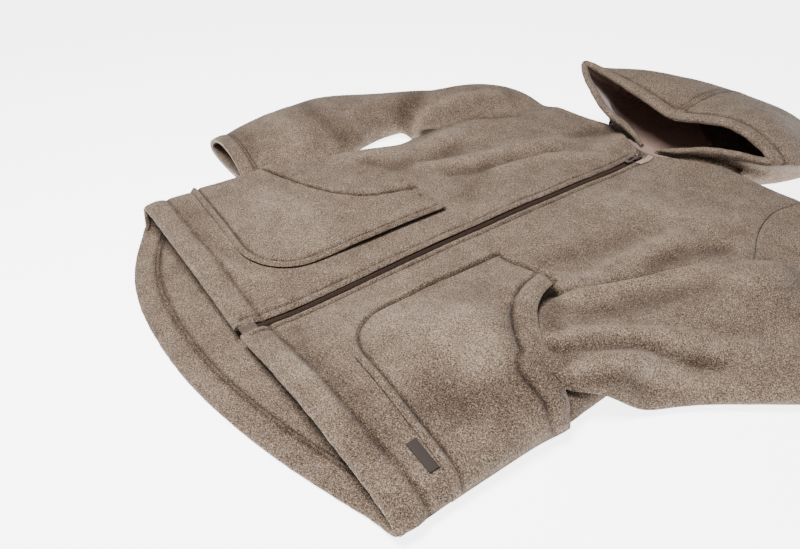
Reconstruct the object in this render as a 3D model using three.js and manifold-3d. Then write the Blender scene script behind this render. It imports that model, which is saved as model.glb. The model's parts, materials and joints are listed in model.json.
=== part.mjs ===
// Hooded zip jacket in boiled-wool fleece, laid flat on its back.
// Millimetres, +Z up. X = 0 runs along the zip and +X is the wearer's left; +Y runs from hem to neck.
// The origin is on the underside of the back, below the lower end of the zip.

import * as THREE from 'three';
import { mergeVertices } from 'three/addons/utils/BufferGeometryUtils.js';
import Module from 'manifold-3d';

const wasm = await Module();
wasm.setup();

// ---- driving dimensions -------------------------------------------------------------------

const CLOTH = 3;            // fleece thickness
const JERSEY = 1.2;         // hood lining thickness
const SEAM_GAP = 0.3;       // space between pieces that are sewn together
const LAY_GAP = 0.6;        // space under a piece that lies on a panel
const HEM_BAND = 27;        // depth of the turned hem on body and sleeves
const HEM_EXTRA = 2.4;      // extra thickness where the hem is turned in
const DROP_TAIL = 61;       // how far the back hem hangs below the front hem
const TAIL_CENTRE = -35;    // x of its lowest point
const TAIL_RIGHT = 233;     // how far the tail's curve reaches to the right and to the left
const TAIL_LEFT = 272;
const TAIL_FADE = 160;      // y where rows of the back are straight again
const SIDE_ROLL = 20;       // how wide the cloth rolls over at the side seams
const SHOULDER_ROLL = 26;   // the same over the shoulder seams
const SHOULDER_START = 600; // y where the shoulder roll begins
const SHOULDER_SEAM_Z = 29;
const UNDERARM = 398;       // y of the underarm point
const NECK_HALF = 105;      // half width of the neck at the shoulder seams
const BACK_NECK_DROP = 12;  // how much lower the neckline is at the centre back
const ZIP_LENGTH = 566;
const ZIP_HALF = 5;         // from the zip's middle to a front's edge
const ZIP_TAPE = 12;        // width of one tape
const CHAIN_HALF = 2.9;
const SLIDER_LENGTH = 13;
const SLIDER_HEIGHT = 2.6;
const SLIDER_Y = 567;
const BRIDGE_WIDTH = 2.6;
const PULL_LENGTH = 25;
const PULL_WIDTH = 8;
const PULL_THICK = 1.4;
const HINGE_HEIGHT = 1.25;  // the pull's hinge above the slider's top
const POCKET_SIDE = 116;    // height of its mouth's lower end, at the side seam
const POCKET_CORNER = 58;   // radius of its lower inner corner
const REST_GAP = 1.3;       // space under a sleeve that lies on the body
const DRAPE_WIDTH = 42;     // how far out the sleeve comes down from the body to the floor
const EDGE_HEIGHT = 0.38;   // height of a sleeve's folded edge, as a share of its thickness
const CUFF_ROWS = 2;        // rings of a sleeve in its turned hem
const FLAT_SHARE = 0.7;     // share of a front's columns in its flat part, the rest are in the roll
const FRONT_COLUMNS = 17;
const BACK_COLUMNS = 20;

// ---- tables: one row for each section ------------------------------------------------------

// Body sections from hem to shoulder. right and left: half widths. innerX, innerY: a front's inner edge.
// zip, then mid, side and seam: heights of the cloth's upper face across each front. back: underside's edge.
const BODY = [
  { y: 0, right: 267, left: 259, innerX: 5, innerY: 0, zip: 19, rMid: 31, rSide: 39, rSeam: 33, lMid: 29, lSide: 24, lSeam: 12, back: 1 },
  { y: 60, right: 274, left: 256, innerX: 5, innerY: 60, zip: 16, rMid: 31, rSide: 36, rSeam: 28, lMid: 33, lSide: 26, lSeam: 10, back: 1 },
  { y: 130, right: 276, left: 256, innerX: 5, innerY: 130, zip: 20, rMid: 29, rSide: 34, rSeam: 25, lMid: 34, lSide: 28, lSeam: 12, back: 1 },
  { y: 200, right: 276, left: 254, innerX: 5, innerY: 200, zip: 25, rMid: 28, rSide: 33, rSeam: 23, lMid: 32, lSide: 28, lSeam: 13, back: 1 },
  { y: 300, right: 259, left: 250, innerX: 5, innerY: 300, zip: 29, rMid: 29, rSide: 35, rSeam: 22, lMid: 31, lSide: 28, lSeam: 13, back: 1 },
  { y: 345, right: 242, left: 252, innerX: 5, innerY: 342, zip: 31, rMid: 31, rSide: 34, rSeam: 20, lMid: 31, lSide: 29, lSeam: 14, back: 1 },
  { y: 382, right: 249, left: 253, innerX: 5, innerY: 378, zip: 32, rMid: 33, rSide: 36, rSeam: 22, lMid: 32, lSide: 32, lSeam: 16, back: 1 },
  { y: 415, right: 260, left: 245, innerX: 5, innerY: 409, zip: 32, rMid: 35, rSide: 44, rSeam: 38, lMid: 33, lSide: 36, lSeam: 30, back: 0.4 },
  { y: 465, right: 230, left: 226, innerX: 5, innerY: 456, zip: 33, rMid: 37, rSide: 45, rSeam: 42, lMid: 35, lSide: 40, lSeam: 36, back: 0.1 },
  { y: 510, right: 198, left: 200, innerX: 5, innerY: 496, zip: 33, rMid: 38, rSide: 45, rSeam: 42, lMid: 36, lSide: 42, lSeam: 38, back: 0.1 },
  { y: 555, right: 187, left: 188, innerX: 5, innerY: 540, zip: 34, rMid: 39, rSide: 45, rSeam: 42, lMid: 38, lSide: 42, lSeam: 38, back: 0.1 },
  { y: 580, right: 187, left: 188, innerX: 6, innerY: 581, zip: 38, rMid: 39, rSide: 44, rSeam: 41, lMid: 39, lSide: 41, lSeam: 38, back: 0.2 },
  { y: 600, right: 191, left: 192, innerX: 66, innerY: 606, zip: 43, rMid: 41, rSide: 43, rSeam: 41, lMid: 40, lSide: 40, lSeam: 38, back: 0.3 },
];

// Right sleeve from armhole to cuff, lying away from the body. outer and inner: its two folded edges in plan.
// near, mid and far: heights of its upper face from the inner to the outer edge.
const RIGHT_SLEEVE = [
  { outer: [-230, 636], inner: [-284, 404], near: 18, mid: 12, far: 42, over: 0 },
  { outer: [-270, 640], inner: [-302, 405], near: 28, mid: 56, far: 50, over: 0 },
  { outer: [-312, 624], inner: [-316, 398], near: 32, mid: 57, far: 50, over: 0 },
  { outer: [-348, 592], inner: [-318, 376], near: 32, mid: 54, far: 44, over: 0 },
  { outer: [-384, 538], inner: [-311, 348], near: 32, mid: 53, far: 38, over: 0 },
  { outer: [-418, 470], inner: [-297, 322], near: 32, mid: 53, far: 36, over: 0 },
  { outer: [-456, 408], inner: [-287, 294], near: 30, mid: 54, far: 38, over: 0 },
  { outer: [-482, 352], inner: [-283, 262], near: 30, mid: 54, far: 40, over: 0 },
  { outer: [-478, 284], inner: [-297, 230], near: 28, mid: 50, far: 38, over: 0 },
  { outer: [-464, 218], inner: [-300, 192], near: 26, mid: 44, far: 34, over: 0 },
  { outer: [-449, 176], inner: [-305, 166], near: 26, mid: 41, far: 31, over: 0 },
  { outer: [-439, 147], inner: [-309, 140], near: 24, mid: 39, far: 29, over: 0 },
];

// Left sleeve: out from the armhole, folded back at the elbow, over the body's side and into the pocket.
// over: how much of it rests on the front instead of the floor.
const LEFT_SLEEVE = [
  { outer: [236, 634], inner: [266, 412], near: 20, mid: 30, far: 42, over: 0 },
  { outer: [300, 640], inner: [271, 420], near: 24, mid: 48, far: 46, over: 0 },
  { outer: [368, 622], inner: [278, 440], near: 26, mid: 54, far: 46, over: 0 },
  { outer: [418, 572], inner: [283, 456], near: 28, mid: 56, far: 46, over: 0 },
  { outer: [438, 508], inner: [280, 470], near: 28, mid: 54, far: 42, over: 0.5 },
  { outer: [428, 446], inner: [258, 462], near: 20, mid: 44, far: 38, over: 1 },
  { outer: [392, 386], inner: [222, 428], near: 15, mid: 32, far: 34, over: 1 },
  { outer: [345, 322], inner: [193, 374], near: 14, mid: 24, far: 30, over: 1 },
  { outer: [298, 262], inner: [176, 316], near: 13, mid: 18.5, far: 22, over: 1 },
  { outer: [279, 223], inner: [161, 266], near: 12, mid: 16, far: 17, over: 1 },
  { outer: [252, 181], inner: [139, 232], near: 12, mid: 15.5, far: 14, over: 1 },
  { outer: [214, 156], inner: [124, 198], near: 12, mid: 15.5, far: 12, over: 1 },
  { outer: [205, 138], inner: [116, 180], near: 12, mid: 15.5, far: 12, over: 1 },
];

// Pockets. bottom: y of the bottom edge. drop, lean: how much lower the bottom and top edges run at the side.
// height: up to the top edge. inner and mouth: from the zip to the inner edge and the mouth's top. curve: the mouth's.
// lift: how far it stands off the front. gape: the same at the mouth. A sleeve's end lies in the left one.
const RIGHT_POCKET = { bottom: 49, drop: -10, height: 236, inner: 51, mouth: 132, lean: 0, curve: 3.2, lift: 3, gape: 3 };
const LEFT_POCKET = { bottom: 57, drop: 12, height: 212, inner: 58, mouth: 150, lean: 9, curve: 2.6, lift: 14.5, gape: 3.5 };

// Half hood: loops from the mouth's rim to the crown. Each goes from the neck, or further back from the
// centre seam on the floor, out round the side and up to the centre seam on top. First number: out from X = 0.
const RIGHT_HOOD = [
  { start: [5.5, 584, 40], rise: [40, 592, 54], low: [93, 599, 67], fold: [166, 628, 113], high: [80, 636, 97], end: [0, 630, 80] },
  { start: [40, 602, 41], rise: [66, 612, 46], low: [104, 628, 56], fold: [173, 654, 88], high: [102, 684, 106], end: [0, 684, 92] },
  { start: [107, 635, 32], rise: [120, 650, 34], low: [134, 668, 40], fold: [170, 706, 62], high: [90, 732, 92], end: [0, 742, 90] },
  { start: [52, 628, 8], rise: [82, 658, 2], low: [112, 692, 0], fold: [160, 750, 40], high: [84, 784, 74], end: [0, 792, 74] },
  { start: [0, 660, 0], rise: [40, 700, 0], low: [80, 740, 0], fold: [138, 798, 28], high: [74, 826, 54], end: [0, 834, 54] },
  { start: [0, 750, 0], rise: [30, 774, 0], low: [58, 800, 0], fold: [92, 840, 20], high: [48, 854, 36], end: [0, 860, 36] },
  { start: [0, 868, 6], rise: [0, 868.6, 8], low: [0, 869, 11], fold: [0, 870, 14], high: [0, 870, 17], end: [0, 869, 20] },
];
const LEFT_HOOD = [
  { start: [5.5, 584, 40], rise: [36, 598, 47], low: [86, 614, 58], fold: [152, 622, 66], high: [84, 636, 92], end: [0, 630, 80] },
  { start: [40, 602, 41], rise: [58, 612, 52], low: [102, 628, 50], fold: [166, 656, 62], high: [98, 684, 95], end: [0, 684, 92] },
  { start: [107, 635, 32], rise: [120, 650, 32], low: [134, 668, 32], fold: [166, 706, 46], high: [88, 730, 84], end: [0, 742, 90] },
  { start: [52, 628, 8], rise: [82, 658, 2], low: [112, 692, 0], fold: [156, 750, 32], high: [82, 782, 68], end: [0, 792, 74] },
  { start: [0, 660, 0], rise: [40, 700, 0], low: [80, 740, 0], fold: [134, 798, 24], high: [72, 826, 50], end: [0, 834, 54] },
  { start: [0, 750, 0], rise: [30, 774, 0], low: [58, 800, 0], fold: [90, 840, 18], high: [46, 854, 35], end: [0, 860, 36] },
  { start: [0, 868, 6], rise: [0, 868.6, 8], low: [0, 869, 11], fold: [0, 870, 14], high: [0, 870, 17], end: [0, 869, 20] },
];

// ---- small helpers -------------------------------------------------------------------------

const mix = (a, b, share) => a + (b - a) * share;
const clamp = (value, low = 0, high = 1) => Math.min(Math.max(value, low), high);
const ease = (share) => clamp(share) ** 2 * (3 - 2 * clamp(share));

/** Height at share 0 to 1 on the smooth bend through three heights. */
function bend(first, middle, last, share) {
  return first * (1 - share) * (1 - 2 * share) + 4 * middle * share * (1 - share) + last * share * (2 * share - 1);
}

/** A table's columns at y, on smooth curves through its rows. */
function rowAt(table, y) {
  const last = table.length - 2;
  let k = 0;
  while (k < last && table[k + 1].y < y) k += 1;
  const span = table[k + 1].y - table[k].y;
  const t = clamp((y - table[k].y) / span);
  const slope = (i, name) => {
    const before = table[Math.max(i - 1, 0)];
    const after = table[Math.min(i + 1, table.length - 1)];
    return (after[name] - before[name]) / (after.y - before.y) * span;
  };
  const row = {};
  for (const name of Object.keys(table[0])) {
    const a = table[k][name];
    const b = table[k + 1][name];
    row[name] = a * (1 + 2 * t) * (1 - t) ** 2 + b * t * t * (3 - 2 * t)
      + slope(k, name) * t * (1 - t) ** 2 + slope(k + 1, name) * t * t * (t - 1);
  }
  row.y = y;
  return row;
}

/** A closed wall between two grids of points. ring: each row closes on itself. */
function wall(outer, inner, ring = false) {
  const rows = outer.length;
  const columns = outer[0].length;
  const points = [...outer.flat(), ...inner.flat()];
  const index = [];
  const a = (i, j) => i * columns + (j % columns);
  const b = (i, j) => rows * columns + a(i, j);
  const quad = (p, q, r, s) => index.push(p, q, r, p, r, s);
  const steps = ring ? columns : columns - 1;
  for (let j = 0; j < steps; j += 1) {
    for (let i = 0; i < rows - 1; i += 1) {
      quad(a(i, j), a(i, j + 1), a(i + 1, j + 1), a(i + 1, j));
      quad(b(i, j), b(i + 1, j), b(i + 1, j + 1), b(i, j + 1));
    }
    quad(a(0, j), b(0, j), b(0, j + 1), a(0, j + 1));
    quad(a(rows - 1, j), a(rows - 1, j + 1), b(rows - 1, j + 1), b(rows - 1, j));
  }
  for (let i = 0; i < rows - 1 && !ring; i += 1) {
    quad(a(i, 0), a(i + 1, 0), b(i + 1, 0), b(i, 0));
    quad(a(i, columns - 1), b(i, columns - 1), b(i + 1, columns - 1), a(i + 1, columns - 1));
  }
  return closedGeometry(points, index);
}

/** A geometry from points and triangles, turned so that its faces point out. */
function closedGeometry(points, index) {
  let volume = 0;
  for (let k = 0; k < index.length; k += 3) {
    const [p, q, r] = [points[index[k]], points[index[k + 1]], points[index[k + 2]]];
    volume += p.dot(new THREE.Vector3().crossVectors(q, r));
  }
  const turned = volume < 0 ? index.slice().reverse() : index;
  const geometry = new THREE.BufferGeometry();
  geometry.setAttribute('position', new THREE.Float32BufferAttribute(points.flatMap((p) => p.toArray()), 3));
  geometry.setIndex(turned);
  geometry.computeVertexNormals();
  return geometry;
}

/** A grid made by calling place(i, j) for each row and column. */
function grid(rows, columns, place) {
  const row = (i) => Array.from({ length: columns }, (_, j) => place(i, j));
  return Array.from({ length: rows }, (_, i) => row(i));
}

// ---- body ----------------------------------------------------------------------------------

/** Rows of the body: y below the shoulder, and how far round the shoulder roll they are. */
const BODY_ROWS = [
  ...[0, HEM_BAND, HEM_BAND + 1, 56, 85, 115, 145, 175, 205, 235, 270, 305, 330, 350, 368, 384, UNDERARM,
    408, 420, 440, 465, 500, 538, 570, 580, SHOULDER_START].map((y) => ({ y, turn: 0 })),
  ...[30, 60, 90].map((degrees) => ({ y: SHOULDER_START, turn: THREE.MathUtils.degToRad(degrees) })),
];

/** Cloth thickness at a distance from an edge that is turned in. */
const hemmed = (distance) => CLOTH + (distance <= HEM_BAND ? HEM_EXTRA : 0);

/** A front's height before it rolls over at the side. share: 0 at the inner edge, 1 at the roll. */
function frontHeight(side, row, share) {
  return side < 0 ? bend(row.zip, row.rMid, row.rSide, share) : bend(row.zip, row.lMid, row.lSide, share);
}

/** A point of a front. q: 0 at the inner edge, FLAT_SHARE at the roll, 1 at the side. */
function frontPoint(side, { y, turn }, q, depth) {
  const row = rowAt(BODY, y);
  const reach = side < 0 ? row.right : row.left;
  const seam = side < 0 ? row.rSeam : row.lSeam;
  const open = ease((y - UNDERARM + 15) / 40);
  const share = clamp(q / FLAT_SHARE);
  const roll = clamp((q - FLAT_SHARE) / (1 - FLAT_SHARE)) * Math.PI / 2;
  const edge = seam - depth * open;
  const height = frontHeight(side, row, share) - depth;
  const innerX = Math.max(row.innerX, ZIP_HALF);
  const x = mix(innerX, reach - SIDE_ROLL, share) + (SIDE_ROLL - depth * (1 - open)) * Math.sin(roll);
  const flatZ = edge + (height - edge) * Math.cos(roll);
  const over = Math.sin(turn);
  const z = SHOULDER_SEAM_Z + (flatZ - SHOULDER_SEAM_Z) * Math.cos(turn);
  const neckX = (NECK_HALF - innerX) * (1 - share) * over;
  const along = mix(row.innerY, y, share) + (SHOULDER_ROLL - depth) * over;
  return new THREE.Vector3(side * (x + neckX), along, z);
}

/** One front, from the zip to the side seam and armhole. */
function front(side) {
  const q = (j) => j / (FRONT_COLUMNS - 1);
  const outer = grid(BODY_ROWS.length, FRONT_COLUMNS, (i, j) => frontPoint(side, BODY_ROWS[i], q(j), 0));
  const inner = grid(BODY_ROWS.length, FRONT_COLUMNS, (i, j) => {
    return frontPoint(side, BODY_ROWS[i], q(j), hemmed(BODY_ROWS[i].y));
  });
  return wall(outer, inner);
}

/** How far below its row a point of the back hem hangs: a rounded tail, lowest right of the middle. */
function hemDrop(x, y) {
  const out = x - TAIL_CENTRE;
  const share = out < 0 ? clamp(-out / TAIL_RIGHT) ** 2.7 : clamp(out / TAIL_LEFT) ** 1.8;
  return DROP_TAIL * (1 - share) * clamp(1 - y / TAIL_FADE);
}

/** A point of the back, whose outer face is the underside. across: -1 at the right side, 1 at the left. */
function backPoint({ y, turn }, across, depth) {
  const row = rowAt(BODY, y);
  const side = Math.sign(across) || 1;
  const reach = side < 0 ? row.right : row.left;
  const seam = side < 0 ? row.rSeam : row.lSeam;
  const share = Math.abs(across);
  const open = ease((y - UNDERARM + 15) / 40);
  const lowered = seam * Math.min(row.back, 1) - SEAM_GAP - (2 * CLOTH - depth) * open;
  const edge = Math.max(lowered, depth * open);
  const flat = clamp(share / FLAT_SHARE);
  const roll = clamp((share - FLAT_SHARE) / (1 - FLAT_SHARE)) * Math.PI / 2;
  const x = side * ((reach - SIDE_ROLL) * flat + (SIDE_ROLL - depth * (1 - open)) * Math.sin(roll));
  const floorZ = depth + (edge - depth) * (1 - Math.cos(roll));
  const over = Math.sin(turn);
  const neck = clamp(Math.abs(x) / NECK_HALF);
  const top = (SHOULDER_SEAM_Z - SEAM_GAP) * ease(neck) + depth * (1 - ease(neck));
  const neckDrop = BACK_NECK_DROP * (1 - neck ** 2) * over;
  const z = floorZ + (top - floorZ) * (1 - Math.cos(turn));
  const along = y + (SHOULDER_ROLL - depth * ease(neck)) * over - neckDrop;
  return new THREE.Vector3(x, along - hemDrop(x, y), z);
}

/** Columns of the back, closer together where it rolls up at the sides. */
const backAcross = (j) => j / (BACK_COLUMNS - 1) * 2 - 1;

/** The back in one piece, with its longer, rounded hem. */
function back() {
  const outer = grid(BODY_ROWS.length, BACK_COLUMNS, (i, j) => backPoint(BODY_ROWS[i], backAcross(j), 0));
  const inner = grid(BODY_ROWS.length, BACK_COLUMNS, (i, j) => {
    return backPoint(BODY_ROWS[i], backAcross(j), hemmed(BODY_ROWS[i].y));
  });
  return wall(outer, inner);
}

// ---- sleeves -------------------------------------------------------------------------------

/** Height that a sleeve lying over the left front rests at: on the front, and down past its side. */
function restHeight(x, y) {
  const row = rowAt(BODY, Math.min(y, UNDERARM + 45));
  const reach = row.left;
  const share = clamp((x - row.innerX) / (reach - SIDE_ROLL - row.innerX));
  const onBody = bend(row.zip, row.lMid, row.lSide, share) + REST_GAP;
  const start = reach + 2 + 5 * ease((255 - y) / 30) + 20 * ease((y - 380) / 40);
  const width = mix(DRAPE_WIDTH * 0.36, DRAPE_WIDTH, ease((y - 215) / 110));
  return onBody * (1 - ease((x - start) / width));
}

/** A point of a sleeve's section. turn: 0 at the inner edge, pi at the outer edge, over the top between. */
function sleevePoint(row, turn, depth) {
  const inner = new THREE.Vector3(...row.inner, 0);
  const outer = new THREE.Vector3(...row.outer, 0);
  const width = inner.distanceTo(outer);
  const share = (1 - Math.cos(turn)) / 2;
  const place = inner.clone().lerp(outer, depth / width + share * (1 - 2 * depth / width));
  const round = Math.sqrt(Math.sin(turn) ** 2) ** 0.75;
  const top = bend(row.near, row.mid, row.far, share);
  const half = top * EDGE_HEIGHT;
  const rest = row.over > 0 ? restHeight(place.x, place.y) * row.over : 0;
  const upper = Math.sin(turn) >= 0;
  place.z = rest + (upper ? half + (top - depth - half) * round : half - (half - depth) * round);
  return place;
}

/** A table's rows, with extra ones worked out between them on smooth curves. */
function fineRows(table, steps) {
  const curve = (pick) => new THREE.CatmullRomCurve3(table.map((row) => new THREE.Vector3(...pick(row))));
  const inner = curve((row) => [...row.inner, row.over]);
  const outer = curve((row) => [...row.outer, 0]);
  const heights = curve((row) => [row.near, row.mid, row.far]);
  return Array.from({ length: steps + 1 }, (_, k) => {
    const a = inner.getPoint(k / steps);
    const b = outer.getPoint(k / steps);
    const h = heights.getPoint(k / steps);
    return { inner: [a.x, a.y], outer: [b.x, b.y], near: h.x, mid: h.y, far: h.z, over: clamp(a.z) };
  });
}

/** The ring where a sleeve meets the armhole: up along the front's edge and back down the back's. */
function armholeRing(side, depth) {
  const stations = BODY_ROWS.filter(({ y, turn }) => y > UNDERARM && turn < Math.PI / 2);
  const away = (point) => point.add(new THREE.Vector3(side * 2 * SEAM_GAP, 0, 0));
  const up = stations.map((station) => away(frontPoint(side, station, 1, depth)));
  const down = stations.map((station) => away(backPoint(station, side, depth))).reverse();
  return [...up, ...down];
}

/** One sleeve, a flattened tube that is open at the armhole and at the cuff. */
function sleeve(side, table, rings) {
  const rows = fineRows(table, rings);
  const count = armholeRing(side, 0).length;
  const turnAt = (j) => (j + 0.5) / count * Math.PI * 2;
  const surface = (lining) => {
    const depth = (i) => (lining ? CLOTH + (i >= rows.length - CUFF_ROWS ? HEM_EXTRA : 0) : 0);
    const ringAt = (row, i) => Array.from({ length: count }, (_, j) => sleevePoint(row, turnAt(j), depth(i)));
    return [armholeRing(side, lining ? CLOTH : 0), ...rows.map(ringAt)];
  };
  return wall(surface(false), surface(true), true);
}

// ---- pockets -------------------------------------------------------------------------------

/** The q of a front's column at a distance from the zip, for one row. */
function columnAt(side, y, x) {
  const row = rowAt(BODY, y);
  const reach = side < 0 ? row.right : row.left;
  return FLAT_SHARE * (x - row.innerX) / (reach - SIDE_ROLL - row.innerX);
}

/** Where a pocket's inner edge is at a height above its bottom edge: straight, with a wide round corner. */
function pocketInner(place, height) {
  const rise = Math.min(height, POCKET_CORNER);
  return place.inner + POCKET_CORNER - Math.sqrt(POCKET_CORNER ** 2 - (POCKET_CORNER - rise) ** 2);
}

/** Where its mouth is: a hollow curve from the top corner down to the side seam. */
function pocketMouth(place, height, reach) {
  const share = clamp((place.height - height) / (place.height - POCKET_SIDE));
  return place.mouth + (reach - place.mouth) * share ** place.curve;
}

/** How far a pocket stands off the front, in its middle and at the seam end of its mouth. */
function pocketLift(place, x, height, reach) {
  const inside = ease((height - 25) / 70) * ease((x - place.inner - 12) / 72);
  const beforeRoll = 1 - ease((x - reach + SIDE_ROLL) / SIDE_ROLL);
  return place.lift * inside * beforeRoll + place.gape * ease((height - POCKET_SIDE + 34) / 28);
}

/** One pocket, sewn down along its bottom, inner and top edges and open towards the side. */
function pocket(side, place) {
  const heights = [0, 1, 6, 15, 30, 50, 70, 90, 105, 116, 118.5, 121, 124, 129, 137, 148, 164, 188, place.height];
  const columns = 15;
  const flat = columns - 6;
  const surface = (depth) => grid(heights.length, columns, (i, j) => {
    const lower = j / (columns - 1) * mix(place.drop, place.lean, heights[i] / place.height);
    const y = place.bottom + heights[i] - lower;
    const row = rowAt(BODY, y);
    const reach = side < 0 ? row.right : row.left;
    const first = columnAt(side, y, pocketInner(place, heights[i] + 0.01));
    const base = j <= flat ? mix(first, FLAT_SHARE, j / flat) : mix(FLAT_SHARE, 1, (j - flat) / 5);
    const mouth = pocketMouth(place, heights[i], reach);
    const turned = Math.asin(clamp(1 - (reach - mouth) / SIDE_ROLL)) / (Math.PI / 2);
    const rolled = FLAT_SHARE + (1 - FLAT_SHARE) * turned;
    const last = reach - mouth < SIDE_ROLL ? rolled : columnAt(side, y, mouth);
    const q = first + (base - first) * (last - first) / (1 - first);
    const x = Math.abs(frontPoint(side, { y, turn: 0 }, q, 0).x);
    const raised = LAY_GAP + CLOTH + pocketLift(place, x, heights[i], reach);
    return frontPoint(side, { y, turn: 0 }, q, depth - raised);
  });
  return wall(surface(0), surface(CLOTH));
}

// ---- hood ----------------------------------------------------------------------------------

/** Outer points of half the hood: loops from the rim to the crown. */
function hoodGrid(side, table, loops, across) {
  const names = ['start', 'rise', 'low', 'fold', 'high', 'end'];
  const ribs = names.map((name) => {
    return new THREE.CatmullRomCurve3(table.map((row) => new THREE.Vector3(...row[name])), false, 'centripetal');
  });
  return grid(loops + 1, across + 1, (i, j) => {
    const points = ribs.map((rib) => rib.getPoint(i / loops));
    const loop = new THREE.CatmullRomCurve3(points, false, 'centripetal');
    const p = loop.getPoint(j / across);
    return new THREE.Vector3(side * (Math.max(p.x, 0) + SEAM_GAP / 2), p.y, Math.max(p.z, 0));
  });
}

/** The same grid moved in by a depth along its normals, which stay upright at the centre seam. */
function movedIn(points, side, depth) {
  const rows = points.length;
  const columns = points[0].length;
  const at = (i, j) => points[clamp(i, 0, rows - 1)][clamp(j, 0, columns - 1)];
  return grid(rows, columns, (i, j) => {
    const along = at(i + 1, j).clone().sub(at(i - 1, j));
    const around = at(i, j + 1).clone().sub(at(i, j - 1));
    const normal = new THREE.Vector3().crossVectors(around, along).multiplyScalar(side);
    if (Math.abs(points[i][j].x) < SEAM_GAP) normal.x = 0;
    return points[i][j].clone().addScaledVector(normal.normalize(), depth);
  });
}

const HOOD_LOOPS = 12;
const HOOD_ACROSS = 16;

/** The fleece of half the hood. */
function hoodHalf(side, table) {
  const outer = hoodGrid(side, table, HOOD_LOOPS, HOOD_ACROSS);
  return wall(outer, movedIn(outer, side, CLOTH));
}

/** Its lining, from behind the rim's hem to short of the crown. */
function hoodLining(side, table) {
  const outer = hoodGrid(side, table, HOOD_LOOPS, HOOD_ACROSS);
  const face = movedIn(outer, side, CLOTH + LAY_GAP).slice(1, -2);
  const inside = movedIn(outer, side, CLOTH + LAY_GAP + JERSEY).slice(1, -2);
  return wall(face, inside);
}

// ---- zip -----------------------------------------------------------------------------------

const ZIP_LINE = BODY.map((row) => ({ y: row.innerY, zip: row.zip }));

/** Height of the fronts' edges beside the zip. */
const zipHeight = (y) => rowAt(ZIP_LINE, y).zip;

/** A strip along the zip. near(y), far(y): its two edges. top, bottom: how far below the fronts' edges it lies. */
function zipStrip(near, far, y0, y1, top, bottom) {
  const between = BODY.map((row) => row.innerY).filter((y) => y > y0 + 5 && y < y1 - 5);
  const ys = [y0, ...between, HEM_BAND + 2, HEM_BAND + 3, y1].filter((y) => y >= y0).sort((a, b) => a - b);
  const points = (drop) => grid(ys.length, 2, (i, j) => {
    return new THREE.Vector3((j ? far : near)(ys[i]), ys[i], zipHeight(ys[i]) - drop);
  });
  return wall(points(top), points(bottom));
}

/** One tape, wide under its front and narrow beside the turned hem. */
function zipTape(side) {
  const far = (y) => side * (y > HEM_BAND + 2.5 ? ZIP_TAPE : ZIP_HALF - 0.5);
  return zipStrip(() => side * SEAM_GAP / 2, far, 1, ZIP_LENGTH + 12, 3.6, 4.5);
}

/** The closed chain of teeth on the tapes. */
const zipChain = () => zipStrip(() => -CHAIN_HALF, () => CHAIN_HALF, 17, ZIP_LENGTH - 9, 1, 3.2);

/** A rounded rectangle round the origin. */
function roundedOutline(path, width, length, radius, x = 0, y = 0) {
  const [w, l] = [width / 2 - radius, length / 2 - radius];
  path.absarc(x + w, y + l, radius, 0, Math.PI / 2);
  path.absarc(x - w, y + l, radius, Math.PI / 2, Math.PI);
  path.absarc(x - w, y - l, radius, Math.PI, Math.PI * 1.5);
  path.absarc(x + w, y - l, radius, Math.PI * 1.5, Math.PI * 2);
  return path;
}

/** A plate with rounded corners and a flat top and bottom. */
function plate(shape, height) {
  return new THREE.ExtrudeGeometry(shape, { depth: height, bevelEnabled: false, curveSegments: 3 });
}

/** A geometry as a solid that can be joined with another. */
function solid(geometry) {
  const bare = geometry.clone();
  Object.keys(bare.attributes).filter((name) => name !== 'position').forEach((name) => bare.deleteAttribute(name));
  const merged = mergeVertices(bare, 1e-4);
  const vertProperties = new Float32Array(merged.attributes.position.array);
  return new wasm.Manifold(new wasm.Mesh({ numProp: 3, vertProperties, triVerts: new Uint32Array(merged.index.array) }));
}

/** The slider's body with the bridge that its pull hangs on. Its origin is under its middle. */
function slider() {
  const body = plate(roundedOutline(new THREE.Shape(), 8.4, SLIDER_LENGTH, 2), SLIDER_HEIGHT);
  const arch = new THREE.Shape();
  arch.moveTo(-3.4, -0.5).lineTo(-3.4, 2.7).lineTo(-2.5, 3.6).lineTo(2.5, 3.6).lineTo(3.4, 2.7).lineTo(3.4, -0.5);
  arch.lineTo(2.3, -0.5).lineTo(2.3, 2.5).lineTo(-2.3, 2.5).lineTo(-2.3, -0.5).lineTo(-3.4, -0.5);
  const bridge = plate(arch, BRIDGE_WIDTH).translate(0, 0, -BRIDGE_WIDTH / 2);
  bridge.rotateX(Math.PI / 2).rotateZ(Math.PI / 2).translate(0, 0, SLIDER_HEIGHT);
  const joined = solid(body).add(solid(bridge)).getMesh();
  const geometry = new THREE.BufferGeometry();
  geometry.setAttribute('position', new THREE.Float32BufferAttribute(joined.vertProperties, 3));
  geometry.setIndex([...joined.triVerts]);
  geometry.computeVertexNormals();
  return geometry;
}

/** The pull: a plate with an eye for the bridge and a long window. Its origin is on its hinge. */
function pullTab() {
  const shape = roundedOutline(new THREE.Shape(), PULL_WIDTH, PULL_LENGTH, 2, 0, PULL_THICK / 2 - PULL_LENGTH / 2);
  const eye = roundedOutline(new THREE.Path(), BRIDGE_WIDTH + 1.2, 4.6, 0.6, 0, -PULL_THICK / 2 - 2.3);
  const window = roundedOutline(new THREE.Path(), PULL_WIDTH - 3.6, 11, 1, 0, -14.2);
  shape.holes.push(eye, window);
  return plate(shape, PULL_THICK).translate(0, 0, -PULL_THICK / 2);
}

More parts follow.
